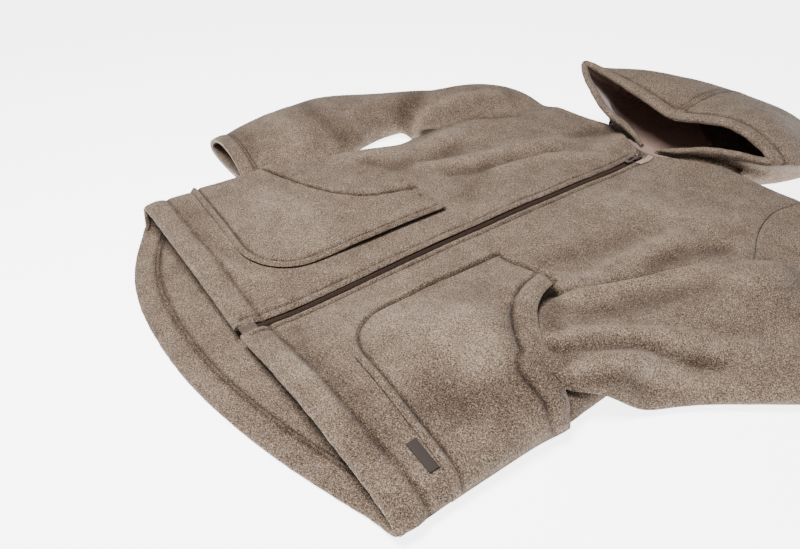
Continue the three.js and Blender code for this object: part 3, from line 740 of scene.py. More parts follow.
@dataclass
class ClothPiece:
    """A cut piece of cloth, made as a thin shell on the form of its solid.

    Attributes:
        node: name of its solid.
        outer: which wall is its outer face.
        flat: width and length it was cut to, in metres; not used.
        area: its cut area in square metres; not used.
        rests_on: what it lies on; not used.
        slot: its material slot.
        thick: thickness in metres.
        hem: says whether a point lies in a turned hem.
        sewing: its rows of stitches.
        lying: share of the folds that it takes.
        floor_lift: whether only its upper part takes them.
        nap: fibres for each square millimetre.
        levels: how often the solid's faces are halved.
        rim_limit: the longest edge that crosses a rim.
        extras: its stitches, rolls and nap, once they are made.
    """

    node: str
    outer: Outer
    flat: tuple[float, float]
    area: float
    rests_on: tuple[str, ...]
    slot: str = "fleece"
    thick: float = CLOTH
    hem: Callable[[Vector], bool] | None = None
    sewing: tuple[Sewing, ...] = ()
    lying: float = 1.0
    floor_lift: bool = False
    nap: float = 0.14
    levels: int = 2
    rim_limit: float = 6.6 * MM
    extras: list[bpy.types.Object] = field(default_factory=list)

    def build(self, finishes: Finishes) -> bpy.types.Object:
        """Args:
            finishes: the materials.

        Returns:
            The finished shell.
        """
        material = finishes.fleece if self.slot == "fleece" else finishes.jersey
        sheet = self.outer_wall()
        apply_modifier(
            sheet,
            "SUBSURF",
            levels=self.levels,
            render_levels=self.levels,
            boundary_smooth="PRESERVE_CORNERS",
        )
        borders = self.refine(sheet)
        self.press(sheet, borders)
        threads = self.sew(sheet, borders, finishes.thread)
        rolls = self.roll_hems(sheet, borders, material)
        self.thicken(sheet)
        sheet.data.materials.append(material)
        smooth_shade(sheet, 50)
        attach(sheet, "jacket")
        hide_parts(self.node)
        if threads is not None:
            self.extras.append(threads)
        self.extras += rolls
        if self.nap:
            self.extras += [self.raise_nap(cloth, material) for cloth in (sheet, *rolls)]
        LOG.info("%s: %d faces", self.node, len(sheet.data.polygons))
        return sheet

    def outer_wall(self) -> bpy.types.Object:
        """Copies the solid's outer wall as one open sheet of quads.

        Returns:
            The sheet, as a new object.
        """
        source = frame["nodes"][self.node]
        net = bmesh.new()
        net.from_mesh(source.data)
        bmesh.ops.remove_doubles(net, verts=net.verts, dist=0.01 * MM)
        net.normal_update()
        limit = self.rim_limit
        across = set()
        for edge in net.edges:
            a, b = edge.verts
            span = b.co - a.co
            length = span.length
            if length > limit or length < 0.5 * self.thick:
                continue
            way = span / length
            if abs(way.dot(a.normal)) > 0.5 and abs(way.dot(b.normal)) > 0.5:
                across.add(edge)
        rims = [f for f in net.faces if any(e in across for e in f.edges)]
        bmesh.ops.delete(net, geom=rims, context="FACES")
        walls = self.connected(net)
        keep = self.outer_of(walls)
        rest = [f for wall in walls if wall is not keep for f in wall]
        bmesh.ops.delete(net, geom=rest, context="FACES")
        loose = [v for v in net.verts if not v.link_faces]
        bmesh.ops.delete(net, geom=loose, context="VERTS")
        bmesh.ops.join_triangles(
            net,
            faces=net.faces,
            angle_face_threshold=math.radians(60),
            angle_shape_threshold=math.radians(60),
        )
        return net_piece(self.node + "_cloth", net)

    @staticmethod
    def connected(net: bmesh.types.BMesh) -> list[list[bmesh.types.BMFace]]:
        """The net's faces in groups that run smoothly into each other, the largest first."""
        left = set(net.faces)
        sharp = math.radians(70)
        groups: list[list[bmesh.types.BMFace]] = []
        while left:
            front = [left.pop()]
            group = []
            while front:
                face = front.pop()
                group.append(face)
                for edge in face.edges:
                    if len(edge.link_faces) != 2 or edge.calc_face_angle() > sharp:
                        continue
                    for other in edge.link_faces:
                        if other in left:
                            left.remove(other)
                            front.append(other)
            groups.append(group)
        return sorted(groups, key=len, reverse=True)

    def outer_of(self, walls: list[list[bmesh.types.BMFace]]) -> list[bmesh.types.BMFace]:
        """The one of the two largest walls that is the outer face."""

        def middle(wall: list[bmesh.types.BMFace]) -> float:
            area = sum(f.calc_area() for f in wall)
            return sum(f.calc_center_median().z * f.calc_area() for f in wall) / area

        pair = walls[:2]
        if self.outer is Outer.UP:
            return max(pair, key=middle)
        if self.outer is Outer.DOWN:
            return min(pair, key=middle)
        return max(pair, key=lambda wall: sum(f.calc_area() for f in wall))

    def border(self, sheet: bpy.types.Object, sewing: Sewing) -> np.ndarray:
        """The border segments that one row of stitches runs beside."""
        net = bmesh.new()
        net.from_mesh(sheet.data)
        found = []
        for edge in net.edges:
            if edge.is_boundary:
                a, b = edge.verts
                if sewing.edge((a.co + b.co) / 2):
                    found.append((tuple(a.co), tuple(b.co)))
        net.free()
        return np.array(found).reshape(-1, 2, 3)

    def refine(self, sheet: bpy.types.Object) -> list[np.ndarray]:
        """Makes the faces smaller along the rows of stitches.

        Args:
            sheet: the open sheet.

        Returns:
            The border segments of each row.
        """
        borders = [self.border(sheet, row) for row in self.sewing]
        for reach in (5 * MM, 2.2 * MM):
            points = points_of(sheet.data)
            near = np.zeros(len(points), bool)
            for row, segments in zip(self.sewing, borders):
                if len(segments):
                    gap, _ = distance_to(points, segments)
                    spread = STITCH_PITCH * (row.threads - 1) / 2
                    near |= np.abs(gap - row.inset - spread) < reach + spread
            select_only(sheet)
            bpy.ops.object.mode_set(mode="EDIT")
            bpy.ops.mesh.select_all(action="DESELECT")
            bpy.ops.object.mode_set(mode="OBJECT")
            for face in sheet.data.polygons:
                face.select = bool(near[list(face.vertices)].any())
            bpy.ops.object.mode_set(mode="EDIT")
            bpy.ops.mesh.select_mode(type="FACE")
            bpy.ops.mesh.subdivide(number_cuts=1, smoothness=0.0, quadcorner="INNERVERT")
            bpy.ops.object.mode_set(mode="OBJECT")
        return borders

    def press(self, sheet: bpy.types.Object, borders: list[np.ndarray]) -> None:
        """Presses the stitched hollows in, lays the folds and felted surface, and paints their
        shade.

        Args:
            sheet: the open sheet.
            borders: the border segments of each row of stitches.
        """
        points = points_of(sheet.data)
        normals = normals_of(sheet.data)
        inward = LUMP * noise_at(points, LUMP_SIZE, 1.0)
        painted_shade = np.zeros(len(points))
        for row, segments in zip(self.sewing, borders):
            if not len(segments):
                continue
            gap, _ = distance_to(points, segments)
            if row.flat:
                near = np.exp(-((gap / row.width) ** 2))
                inward = inward * (1 - near) - row.depth * near
                painted_shade *= 1 - near
                continue
            pull = 0.75 + 0.45 * noise_at(points, 14 * MM, 5.0)
            for thread in range(row.threads):
                line = row.inset + thread * ROW_PITCH
                hollow = np.exp(-(((gap - line) / row.width) ** 2))
                inward -= row.depth * pull * hollow
                # Shade is painted into the stitched hollow.
                painted_shade = np.maximum(painted_shade, row.dark * np.clip(pull, 0.4, 1.1) * hollow)
            swollen = np.exp(-(((gap - row.inset * 0.5) / (row.inset * 0.34)) ** 2))
            inward += row.swell * (1 + 0.35 * pull - 0.35) * swollen
            inward -= row.turn * np.exp(-((gap / (1.6 * MM)) ** 2))
        lift = fold_lift(points, self.node) * self.lying
        if self.floor_lift:
            lift *= smooth_step(points[:, 2], 6 * MM, 26 * MM)
        if self.outer is Outer.DOWN:
            lift = np.zeros(len(points))
            inward = np.where(normals[:, 2] < -0.6, 0, inward)
        points += normals * inward[:, None]
        points[:, 2] += lift
        # Shade is painted into troughs, and a highlight onto high ridges.
        painted_shade += np.clip(-lift / CREASE_SHADE, RIDGE_SHADE, 1.0)
        points[:, 2] = np.maximum(points[:, 2], LYING_CLEARANCE)
        set_points(sheet.data, points)
        layer = sheet.data.attributes.new(PAINTED_SHADE_ATTRIBUTE, "FLOAT", "POINT")
        layer.data.foreach_set("value", painted_shade.astype(np.float32))

    def thicken(self, sheet: bpy.types.Object) -> None:
        """Gives the sheet its thickness, with thicker hems and rounded rims."""
        settings: dict[str, Any] = {
            "thickness": self.thick,
            "offset": -1.0,
            "use_even_offset": False,
            "use_rim": True,
        }
        if self.hem is not None:
            group = sheet.vertex_groups.new(name="hem")
            turned = [v.index for v in sheet.data.vertices if self.hem(v.co)]
            group.add(turned, 1.0, "REPLACE")
            settings["thickness"] = HEM_THICK
            settings["vertex_group"] = "hem"
            settings["thickness_vertex_group"] = self.thick / HEM_THICK
        apply_modifier(sheet, "SOLIDIFY", **settings)
        apply_modifier(
            sheet,
            "BEVEL",
            width=self.thick * 0.4,
            segments=3,
            limit_method="ANGLE",
            angle_limit=math.radians(62),
            use_clamp_overlap=True,
        )
        sheet.vertex_groups.clear()
        points = points_of(sheet.data)
        points[:, 2] = np.maximum(points[:, 2], LYING_CLEARANCE)
        set_points(sheet.data, points)

    def sew(
        self,
        sheet: bpy.types.Object,
        borders: list[np.ndarray],
        material: bpy.types.Material,
    ) -> bpy.types.Object | None:
        """Lays each row's stitches in its hollow.

        Args:
            sheet: the open sheet.
            borders: the border segments of each row.
            material: the thread's finish.

        Returns:
            All the stitches as one piece, or None where none shows.
        """
        points = points_of(sheet.data)
        normals = normals_of(sheet.data)
        ends: list[tuple[np.ndarray, np.ndarray, np.ndarray]] = []
        for row, segments in zip(self.sewing, borders):
            if not row.shown or not len(segments):
                continue
            gap, nearest = distance_to(points, segments)
            for chain, starts in self.chains(segments):
                for thread in range(row.threads):
                    line = row.inset + thread * ROW_PITCH
                    found = self.row_of_stitches(
                        points, normals, gap, nearest, segments, chain, starts, line
                    )
                    if row.inside:
                        found = [
                            (a - up * HEM_THICK, b - up * HEM_THICK, -up) for a, b, up in found
                        ]
                    ends += found
        if not ends:
            return None
        thread = self.stitch_mesh(ends)
        thread.data.materials.append(material)
        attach(thread, "jacket")
        return thread

    def roll_hems(
        self,
        sheet: bpy.types.Object,
        borders: list[np.ndarray],
        material: bpy.types.Material,
    ) -> list[bpy.types.Object]:
        """Turns the edges that ask for it into padded rolls.

        Args:
            sheet: the open sheet.
            borders: the border segments of each row of stitches.
            material: the cloth's finish.

        Returns:
            The rolls.
        """
        points = points_of(sheet.data)
        normals = normals_of(sheet.data)
        rolls = []
        for row, segments in zip(self.sewing, borders):
            if not row.roll or not len(segments):
                continue
            for chain, starts in self.chains(segments):
                if starts[-1] < ROLL_LEAST:
                    continue
                line = [segments[k][int(turned)] for k, turned in chain]
                line.append(segments[chain[-1][0]][int(not chain[-1][1])])
                marks = np.linspace(0, starts[-1], int(starts[-1] / ROLL_STEP) + 1)
                corners = np.array(line)
                path = np.stack([np.interp(marks, starts, corners[:, k]) for k in range(3)], axis=1)
                near = ((path[:, None] - points[None]) ** 2).sum(2).argmin(1)
                up = normals[near]
                for _ in range(10):
                    path[1:-1] = (path[:-2] + 2 * path[1:-1] + path[2:]) / 4
                    up[1:-1] = (up[:-2] + 2 * up[1:-1] + up[2:]) / 4
                deep = self.thick if self.hem is None else HEM_THICK
                roll = self.roll_along(path - up * deep / 2, up, row.roll)
                roll.data.materials.append(material)
                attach(roll, "jacket")
                rolls.append(roll)
        return rolls

    def roll_along(self, path: np.ndarray, up: np.ndarray, half: float) -> bpy.types.Object:
        """A padded roll of oval section along a path, thinner where it starts at the zip.

        Args:
            path: points along its middle.
            up: the cloth's normal at each.
            half: half its width.

        Returns:
            The roll, closed at both ends.
        """
        sides = ROLL_SIDES
        way = np.gradient(path, axis=0)
        way /= np.linalg.norm(way, axis=1)[:, None]
        across = np.cross(way, up)
        across /= np.linalg.norm(across, axis=1)[:, None]
        up = np.cross(across, way)
        ends = path[[0, -1]]
        start = ends[int(np.argmin(np.linalg.norm(ends - ZIP_TOP, axis=1)))]
        fade = smooth_step(np.linalg.norm(path - start, axis=1), 0.0, 60 * MM)
        if np.linalg.norm(start - ZIP_TOP) > 30 * MM:
            fade[:] = 1.0
        size = half * (0.5 + 0.5 * fade) * (1 + 0.1 * noise_at(path, 34 * MM, 9.0))
        turn = 2 * math.pi * np.arange(sides) / sides
        oval = (
            across[:, None] * np.cos(turn)[None, :, None]
            + up[:, None] * np.sin(turn)[None, :, None] * 0.66
        )
        rings = (path[:, None] + oval * size[:, None, None]).reshape(-1, 3)
        rings[:, 2] = np.maximum(rings[:, 2], LYING_CLEARANCE + 0.4 * MM)
        rings += (rings - np.repeat(path, sides, axis=0)) * (
            0.12 * noise_at(rings, 9 * MM, 2.0)[:, None]
        )
        count = len(path) - 1
        low = (np.arange(count)[:, None] * sides + np.arange(sides)).ravel()
        nxt = (np.arange(count)[:, None] * sides + (np.arange(sides) + 1) % sides).ravel()
        faces = np.stack([low, nxt, nxt + sides, low + sides], axis=1)
        roll = mesh_piece(self.node + "_roll", rings, faces)
        close_ends(roll, sides)
        smooth_shade(roll, 60)
        return roll

    @staticmethod
    def chains(segments: np.ndarray) -> list[tuple[list[tuple[int, bool]], np.ndarray]]:
        """Orders border segments into chains.

        Args:
            segments: (count, 2, 3) array.

        Returns:
            For each chain its segments, each with whether it is turned round, and the
            length along the chain where each one starts.
        """
        ends: dict[tuple[int, int, int], list[int]] = {}
        keys = [[tuple(np.round(p / (0.002 * MM)).astype(int)) for p in s] for s in segments]
        for k, pair in enumerate(keys):
            for key in pair:
                ends.setdefault(key, []).append(k)
        left = set(range(len(segments)))
        found = []
        while left:
            start = next(
                (k for k in sorted(left) for key in keys[k] if len(ends[key]) == 1), min(left)
            )
            turned = len(ends[keys[start][0]]) != 1 and len(ends[keys[start][1]]) == 1
            chain = []
            k: int | None = start
            while k is not None:
                left.discard(k)
                chain.append((k, turned))
                tip = keys[k][0] if turned else keys[k][1]
                following = [n for n in ends[tip] if n in left]
                k = following[0] if following else None
                if k is not None:
                    turned = keys[k][0] != tip
            lengths = [float(np.linalg.norm(segments[k][1] - segments[k][0])) for k, _ in chain]
            found.append((chain, np.concatenate([[0.0], np.cumsum(lengths)])))
        return found

    @staticmethod
    def row_of_stitches(
        points: np.ndarray,
        normals: np.ndarray,
        gap: np.ndarray,
        nearest: np.ndarray,
        segments: np.ndarray,
        chain: list[tuple[int, bool]],
        starts: np.ndarray,
        line: float,
    ) -> list[tuple[np.ndarray, np.ndarray, np.ndarray]]:
        """Finds the places of one row's stitches on the sheet.

        Args:
            points: the sheet's points.
            normals: their normals.
            gap: their distances to the row's border.
            nearest: the nearest border segment of each.
            segments: the border segments.
            chain: the chain that the row follows.
            starts: where each of its segments starts along it.
            line: the row's distance from the border.

        Returns:
            Two ends and a normal for each stitch.
        """
        place = {k: (n, turned) for n, (k, turned) in enumerate(chain)}
        close = np.flatnonzero(np.abs(gap - line) < 2.2 * MM)
        along, chosen = [], []
        for index in close:
            found = place.get(int(nearest[index]))
            if found is None:
                continue
            number, turned = found
            a, b = segments[chain[number][0]]
            if turned:
                a, b = b, a
            share = (points[index] - a) @ (b - a) / max((b - a) @ (b - a), 1e-12)
            along.append(starts[number] + np.clip(share, 0, 1) * np.linalg.norm(b - a))
            chosen.append(index)
        if len(chosen) < 8:
            return []
        order = np.argsort(along)
        along_sorted = np.array(along)[order]
        index_sorted = np.array(chosen)[order]
        weight = np.exp(-(((gap[index_sorted] - line) / (0.9 * MM)) ** 2))
        marks = np.arange(along_sorted[0], along_sorted[-1], STITCH_PITCH)
        centres = []
        for mark in marks:
            near = weight * np.exp(-(((along_sorted - mark) / (2.4 * MM)) ** 2))
            total = near.sum()
            if total < 0.02:
                centres.append(None)
                continue
            centres.append(
                (
                    (points[index_sorted] * near[:, None]).sum(0) / total,
                    (normals[index_sorted] * near[:, None]).sum(0) / total,
                )
            )
        stitches = []
        for before, after in zip(centres[:-1], centres[1:]):
            if before is None or after is None:
                continue
            a, b = before[0], after[0]
            if np.linalg.norm(b - a) > 2.2 * STITCH_PITCH:
                continue
            normal = before[1] + after[1]
            stitches.append((a, a + (b - a) * STITCH_SHARE, normal / np.linalg.norm(normal)))
        return stitches

    def stitch_mesh(
        self, ends: list[tuple[np.ndarray, np.ndarray, np.ndarray]]
    ) -> bpy.types.Object:
        """One mesh of all the stitches, each a short thread that dips in at both ends."""
        rings = ((0.0, -0.5, 0.55), (0.22, 0.35, 1.0), (0.78, 0.35, 1.0), (1.0, -0.5, 0.55))
        sides = 5
        points, faces = [], []
        for a, b, normal in ends:
            way = b - a
            across = np.cross(normal, way)
            across /= max(np.linalg.norm(across), 1e-9)
            base = len(points)
            for share, rise, size in rings:
                centre = a + way * share + normal * rise * THREAD
                for k in range(sides):
                    turn = 2 * math.pi * k / sides
                    round_way = across * math.cos(turn) + normal * math.sin(turn)
                    points.append(centre + round_way * THREAD / 2 * size)
            for ring in range(len(rings) - 1):
                for k in range(sides):
                    low = base + ring * sides
                    nxt = (k + 1) % sides
                    faces.append((low + k, low + nxt, low + sides + nxt, low + sides + k))
        piece = mesh_piece(self.node + "_stitches", np.array(points), np.array(faces))
        close_ends(piece, sides)
        return piece

    def raise_nap(
        self, sheet: bpy.types.Object, material: bpy.types.Material
    ) -> bpy.types.Object:
        """Raises short loose fibres all over the shell, away from the surface it lies on.

        Args:
            sheet: the finished shell.
            material: the fibres' finish.

        Returns:
            The fibres as one piece.
        """
        mesh = sheet.data
        mesh.calc_loop_triangles()
        corners = np.empty(len(mesh.loop_triangles) * 3, np.int32)
        mesh.loop_triangles.foreach_get("vertices", corners)
        corners = corners.reshape(-1, 3)
        points = points_of(mesh)
        a, b, c = (points[corners[:, k]] for k in range(3))
        cross = np.cross(b - a, c - a)
        area = np.linalg.norm(cross, axis=1) / 2
        up = cross / np.maximum(2 * area[:, None], 1e-12)
        area = area * np.clip(up[:, 2] + 0.45, 0, 1)
        count = int(area.sum() / MM**2 * self.nap * (1.0))
        rng = np.random.default_rng(sum(ord(letter) for letter in self.node))
        picked = rng.choice(len(area), count, p=area / area.sum())
        u, v = rng.random(count), rng.random(count)
        over = u + v > 1
        u[over], v[over] = 1 - u[over], 1 - v[over]
        root = a[picked] + u[:, None] * (b - a)[picked] + v[:, None] * (c - a)[picked]
        lean = rng.normal(size=(count, 3))
        way = up[picked] * 0.75 + lean * 0.55
        way /= np.linalg.norm(way, axis=1)[:, None]
        side = np.cross(way, rng.normal(size=(count, 3)))
        side /= np.maximum(np.linalg.norm(side, axis=1)[:, None], 1e-9)
        length = rng.uniform(*NAP_LENGTHS, count)[:, None] * MM
        tip = root + way * length
        root = root - way * 0.2 * MM
        tip[:, 2] = np.maximum(tip[:, 2], LYING_CLEARANCE)
        root[:, 2] = np.maximum(root[:, 2], LYING_CLEARANCE)
        side *= NAP_HALF
        stacked = np.stack([root - side, root + side, tip], axis=1)
        faces = np.arange(count * 3).reshape(-1, 3)
        piece = mesh_piece(self.node + "_nap", stacked.reshape(-1, 3), faces)
        piece.data.materials.append(material)
        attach(piece, "jacket")
        return piece


# ---- the cut pieces -----------------------------------------------------------------------


def at_hem(p: Vector) -> bool:
    """On the front hem's edge."""
    return p.y < 0.8 * MM


def at_zip(p: Vector) -> bool:
    """On a front's edge beside the zip."""
    return abs(p.x) < 5.8 * MM and p.y > 1 * MM


def at_back_hem(p: Vector) -> bool:
    """On the back hem's edge."""
    return p.y < 5 * MM


def in_front_hem(p: Vector) -> bool:
    """In the fronts' turned hem."""
    return p.y < HEM_BAND


def back_hem_line(p: Vector) -> float:
    """How far a point of the back lies above its curved hem, roughly."""
    out = (p.x + 35 * MM) / ((243 if p.x < -35 * MM else 272) * MM)
    drop = 61 * MM * (1 - min(abs(out), 1.0) ** (2.2 if out < 0 else 1.8))
    return p.y + drop


def in_back_hem(p: Vector) -> bool:
    """In the back's turned hem."""
    return back_hem_line(p) < HEM_BAND - 3 * MM


def at_right_cuff(p: Vector) -> bool:
    """On the right sleeve's cuff edge."""
    return p.x < -300 * MM and p.y < 152 * MM


def in_right_cuff(p: Vector) -> bool:
    """In the right sleeve's turned hem."""
    return p.y < 168 * MM + (p.x + 305 * MM) * -0.08


def pocket_lines(p: Vector) -> tuple[float, float]:
    """Where a pocket's bottom and top edges run beside a point, in metres along Y."""
    out = abs(p.x) / MM
    if p.x < 0:
        return (49 + 10 * max(out - 108, 0) / 169) * MM, 285 * MM
    return (57 - 12 * max(out - 115, 0) / 145) * MM, (269 - 9 * (out - 58) / 92) * MM


def at_pocket_sewn(p: Vector) -> bool:
    """On a pocket's bottom, inner or top edge."""
    bottom, top = pocket_lines(p)
    inner = 120 * MM if p.x < 0 else 138 * MM
    return p.y < bottom + 3.2 * MM or p.y > top - 0.8 * MM or abs(p.x) < inner


def at_pocket_mouth(p: Vector) -> bool:
    """On a pocket's curved mouth."""
    low, end = (171, 262) if p.x < 0 else (163.5, 258)
    return not at_pocket_sewn(p) and p.y > low * MM and abs(p.x) < end * MM


def at_pocket_side(p: Vector) -> bool:
    """On a pocket's edge in the side seam."""
    out = abs(p.x) / MM
    return out > (277 if p.x < 0 else 259) and p.y < (172 if p.x < 0 else 164.5) * MM


def at_hood_rim(p: Vector) -> bool:
    """On the rim of the hood's mouth."""
    return p.y < 640 * MM and p.z > 36 * MM and (p.z > 42 * MM or abs(p.x) < 8 * MM)


def at_neck_seam(p: Vector) -> bool:
    """On the hood's edge along the neck."""
    return p.y < 641 * MM and 2 * MM < p.z < 43 * MM and not at_hood_rim(p)


def in_hood_hem(p: Vector) -> bool:
    """In the turned hem round the hood's mouth."""
    return p.y < 596 * MM + 0.34 * max(p.z - 50 * MM, 0) and p.z > 50 * MM


def at_hood_seam(p: Vector) -> bool:
    """On the hood's centre seam."""
    return abs(p.x) < 0.5 * MM and p.z > 12 * MM


HEM_ROW = Sewing(
    at_hem, 25 * MM, depth=2.6 * MM, width=2.8 * MM, swell=1.8 * MM, turn=1.0 * MM, shown=False,
    dark=0.7, roll=4.4 * MM,
)
ZIP_ROW = Sewing(
    at_zip, 8.5 * MM, depth=1.7 * MM, width=1.9 * MM, swell=1.3 * MM, turn=1.4 * MM, dark=0.6
)
POCKET_ROW = Sewing(
    at_pocket_sewn, 8.5 * MM, depth=2.9 * MM, width=2.0 * MM, swell=2.4 * MM, turn=1.2 * MM
)
MOUTH_ROW = Sewing(
    at_pocket_mouth, 22 * MM, depth=3.0 * MM, width=2.3 * MM, swell=1.8 * MM, turn=1.0 * MM
)
SIDE_ROW = Sewing(at_pocket_side, 1.0 * MM, depth=3.2 * MM, width=9.0 * MM, shown=False, flat=True)
CUFF_ROW = Sewing(
    at_right_cuff, 20 * MM, depth=1.5 * MM, width=1.8 * MM, swell=1.0 * MM, threads=2, dark=0.7
)
BACK_ROW = Sewing(
    at_back_hem, 19 * MM, depth=0.0, threads=2, inside=True, dark=0.8, roll=4.0 * MM
)
RIM_ROW = Sewing(
    at_hood_rim, 11 * MM, depth=1.6 * MM, width=2.2 * MM, shown=False, roll=7.5 * MM, dark=0.8
)
NECK_ROW = Sewing(
    at_neck_seam, 7 * MM, depth=1.0 * MM, width=2.2 * MM, shown=False, roll=5.5 * MM, dark=0.7
)
CENTRE_ROW = Sewing(at_hood_seam, 5 * MM, depth=1.0 * MM, width=1.8 * MM, swell=0.6 * MM, dark=0.6)

CLOTH_PIECES: tuple[ClothPiece, ...] = (
    ClothPiece("back", Outer.DOWN, (0.560, 0.700), 0.335, ("floor",), hem=in_back_hem,
               sewing=(BACK_ROW,)),
    ClothPiece("front_right", Outer.UP, (0.300, 0.640), 0.155, ("back",), hem=in_front_hem,
               sewing=(HEM_ROW, ZIP_ROW)),
    ClothPiece("front_left", Outer.UP, (0.290, 0.640), 0.150, ("back",), hem=in_front_hem,
               sewing=(HEM_ROW, ZIP_ROW)),
    ClothPiece("pocket_right", Outer.UP, (0.235, 0.224), 0.038, ("front_right",),
               sewing=(POCKET_ROW, MOUTH_ROW, SIDE_ROW), rim_limit=3.7 * MM),
    ClothPiece("pocket_left", Outer.UP, (0.215, 0.214), 0.036, ("front_left", "sleeve_left"),
               sewing=(POCKET_ROW, MOUTH_ROW, SIDE_ROW), rim_limit=3.7 * MM),
    ClothPiece("sleeve_right", Outer.WIDE, (0.500, 0.600), 0.180, ("floor",),
               hem=in_right_cuff, sewing=(CUFF_ROW,), floor_lift=True),
    ClothPiece("sleeve_left", Outer.WIDE, (0.500, 0.640), 0.180, ("floor", "front_left"),
               floor_lift=True),
    *(
        ClothPiece("hood_" + side, Outer.WIDE, (0.300, 0.360), 0.080, ("floor",),
                   hem=in_hood_hem, sewing=(RIM_ROW, NECK_ROW, CENTRE_ROW), lying=0.0)
        for side in SIDES
    ),
    *(
        ClothPiece("hood_lining_" + side, Outer.WIDE, (0.290, 0.330), 0.066, ("hood_" + side,),
                   slot="jersey", thick=JERSEY, lying=0.0, nap=0.0)
        for side in SIDES
    ),
)


# ---- zip ----------------------------------------------------------------------------------


@dataclass
class Zip:
    """The closed coil zip with its tapes, box, slider, pull and garage."""

    tooth_width: float = 2.7 * MM
    tooth_thick: float = 0.95 * MM
    tooth_height: float = 1.3 * MM
    edge_bevel: float = 0.35 * MM

    def height_at(self, y: np.ndarray) -> np.ndarray:
        """Height of the chain's top at places along the zip.

        Args:
            y: the places.

        Returns:
            The heights.
        """
        points = points_of(frame["nodes"]["zip_chain"].data)
        rows: dict[float, float] = {}
        for _, along, z in points:
            key = round(float(along), 5)
            rows[key] = max(rows.get(key, -1.0), float(z))
        keys = sorted(rows)
        return np.interp(y, keys, [rows[k] for k in keys])

    def build(self, finishes: Finishes) -> None:
        """Makes every piece of the zip."""
        self.teeth(finishes.teeth)
        for side in SIDES:
            self.soft_copy("zip_tape_" + side, "zip_tape", finishes.tape, 0.2 * MM)
        self.soft_copy("zip_box", "zip_box", finishes.zip_box, 0.5 * MM)
        self.soft_copy("zip_slider", "zip_metal", finishes.metal, self.edge_bevel)
        self.soft_copy("zip_pull", "zip_metal", finishes.metal, self.edge_bevel, "pull_tab")
        self.soft_copy("zip_garage", "garage", finishes.garage, 1.4 * MM)

    @staticmethod
    def soft_copy(
        node: str, slot: str, material: bpy.types.Material, bevel: float, body: str = "jacket"
    ) -> bpy.types.Object:
        """A copy of a solid with its edges rounded.

        Args:
            node: the solid's name.
            slot: names its material slot, but is not used.
            material: its finish.
            bevel: width of the rounding.
            body: the body it rides on.

        Returns:
            The new piece.
        """
        net = bmesh.new()
        net.from_mesh(frame["nodes"][node].data)
        bmesh.ops.remove_doubles(net, verts=net.verts, dist=0.01 * MM)
        bmesh.ops.dissolve_limit(
            net, angle_limit=math.radians(1), verts=net.verts, edges=net.edges
        )
        piece = net_piece(node + "_made", net)
        apply_modifier(
            piece, "BEVEL", width=bevel, segments=3, limit_method="ANGLE",
            angle_limit=math.radians(40), use_clamp_overlap=True,
        )
        piece.data.materials.append(material)
        smooth_shade(piece, 40)
        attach(piece, body)
        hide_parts(node)
        return piece

    def teeth(self, material: bpy.types.Material) -> bpy.types.Object:
        """The coil's teeth: one rounded loop, copied along both sides of the zip."""
        bpy.ops.object.select_all(action="DESELECT")
        bpy.ops.mesh.primitive_cylinder_add(vertices=8, radius=0.5, depth=1.0)
        seed = bpy.context.object
        bpy.ops.object.mode_set(mode="EDIT")
        bpy.ops.mesh.select_all(action="SELECT")
        bpy.ops.transform.rotate(
            value=math.pi / 2, orient_axis="Y", center_override=(0.0, 0.0, 0.0)
        )
        bpy.ops.object.mode_set(mode="OBJECT")
        apply_modifier(seed, "BEVEL", width=0.18, segments=1, limit_method="ANGLE")
        shape = points_of(seed.data)
        faces = [tuple(f.vertices) for f in seed.data.polygons]
        bpy.data.objects.remove(seed)
        count = int((ZIP_END - ZIP_START) / TOOTH_PITCH)
        places = ZIP_START + TOOTH_PITCH * (np.arange(count) + 0.5)
        heights = self.height_at(places)
        size = np.array([self.tooth_width, self.tooth_thick, self.tooth_height])
        points, all_faces = [], []
        for y, z in zip(places, heights):
            for side in (-1, 1):
                base = len(points)
                middle = np.array([side * self.tooth_width * 0.54, y + side * TOOTH_PITCH / 4, z])
                middle[2] -= self.tooth_height / 2
                points.extend(shape * size + middle)
                all_faces.extend(tuple(base + i for i in f) for f in faces)
        mesh = bpy.data.meshes.new("zip_teeth_made")
        mesh.from_pydata([tuple(p) for p in points], [], all_faces)
        piece = piece_of("zip_teeth_made", mesh)
        mesh.materials.append(material)
        smooth_shade(piece, 50)
        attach(piece, "jacket")
        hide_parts("zip_chain")
        LOG.info("zip teeth: %d", 2 * count)
        return piece


# ---- surroundings ---------------------------------------------------------------------------


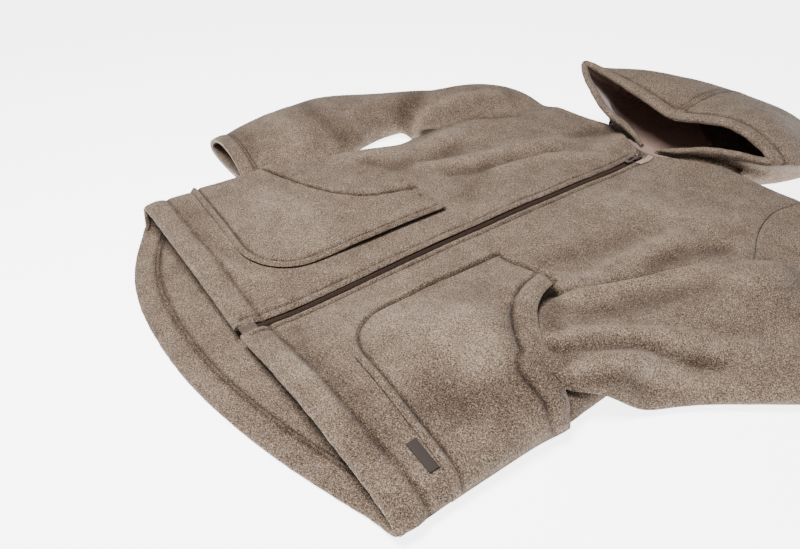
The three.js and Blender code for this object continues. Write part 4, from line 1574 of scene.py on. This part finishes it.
@dataclass(frozen=True)
class Studio:
    """A pale floor, a soft light above the hem and the camera."""

    camera_place: tuple[float, float, float] = (0.4792, -0.1506, 0.4086)
    back_way: tuple[float, float, float] = (0.6768, -0.4697, 0.5668)
    azimuth: float = 55.24
    roll: float = -1.12
    lens: float = 29.77
    key_place: tuple[float, float, float] = (0.04, -0.22, 1.25)
    key_aim: tuple[float, float, float] = (0.1, 0.2, 0.0)
    key_power: float = 48.0
    key_size: float = 0.5
    fill_strength: float = 0.36

    def build(self) -> None:
        """Makes the floor, the lights and the camera."""
        self.floor()
        self.lights()
        self.camera()

    def floor(self) -> None:
        """A wide pale plane with a fine matt grain."""
        bpy.ops.object.select_all(action="DESELECT")
        bpy.ops.mesh.primitive_plane_add(size=12.0)
        plane = bpy.context.object
        plane.name = "floor"
        plane.data.materials.append(TablePaper().material("floor_paper"))

    def lights(self) -> None:
        """A softbox above the hem and an even pale surrounding."""
        world = bpy.data.worlds.new("studio")
        bpy.context.scene.world = world
        world.use_nodes = True
        background = world.node_tree.nodes["Background"]
        background.inputs["Color"].default_value = (1.0, 1.0, 1.0, 1.0)
        background.inputs["Strength"].default_value = self.fill_strength
        bpy.ops.object.light_add(type="AREA", location=self.key_place)
        key = bpy.context.object
        key.data.energy = self.key_power
        key.data.size = self.key_size
        aim = Vector(self.key_aim) - key.location
        key.rotation_euler = aim.to_track_quat("-Z", "Y").to_euler()

    def camera(self) -> None:
        """The camera, from the wearer's left and below the hem."""
        back = Vector(self.back_way).normalized()
        turn = math.radians(self.azimuth)
        level = Vector((math.cos(turn), math.sin(turn), 0.0))
        upright = back.cross(level)
        roll = math.radians(self.roll)
        right = level * math.cos(roll) + upright * math.sin(roll)
        up = upright * math.cos(roll) - level * math.sin(roll)
        data = bpy.data.cameras.new("camera")
        data.lens = self.lens
        data.sensor_width = 36.0
        data.clip_start = 0.01
        camera = bpy.data.objects.new("camera", data)
        bpy.context.scene.collection.objects.link(camera)
        axes = Matrix((right, up, back)).transposed().to_4x4()
        camera.matrix_world = Matrix.Translation(Vector(self.camera_place)) @ axes
        bpy.context.scene.camera = camera


def main() -> None:
    """Builds the jacket and its surroundings."""
    logging.basicConfig(level=logging.INFO, format="%(name)s %(message)s")
    finishes = Finishes.made()
    for piece in CLOTH_PIECES:
        piece.build(finishes)
    Zip().build(finishes)
    Zip.soft_copy("side_label", "label", finishes.label, 0.3 * MM)
    Studio().build()


if __name__ == "__main__":
    main()
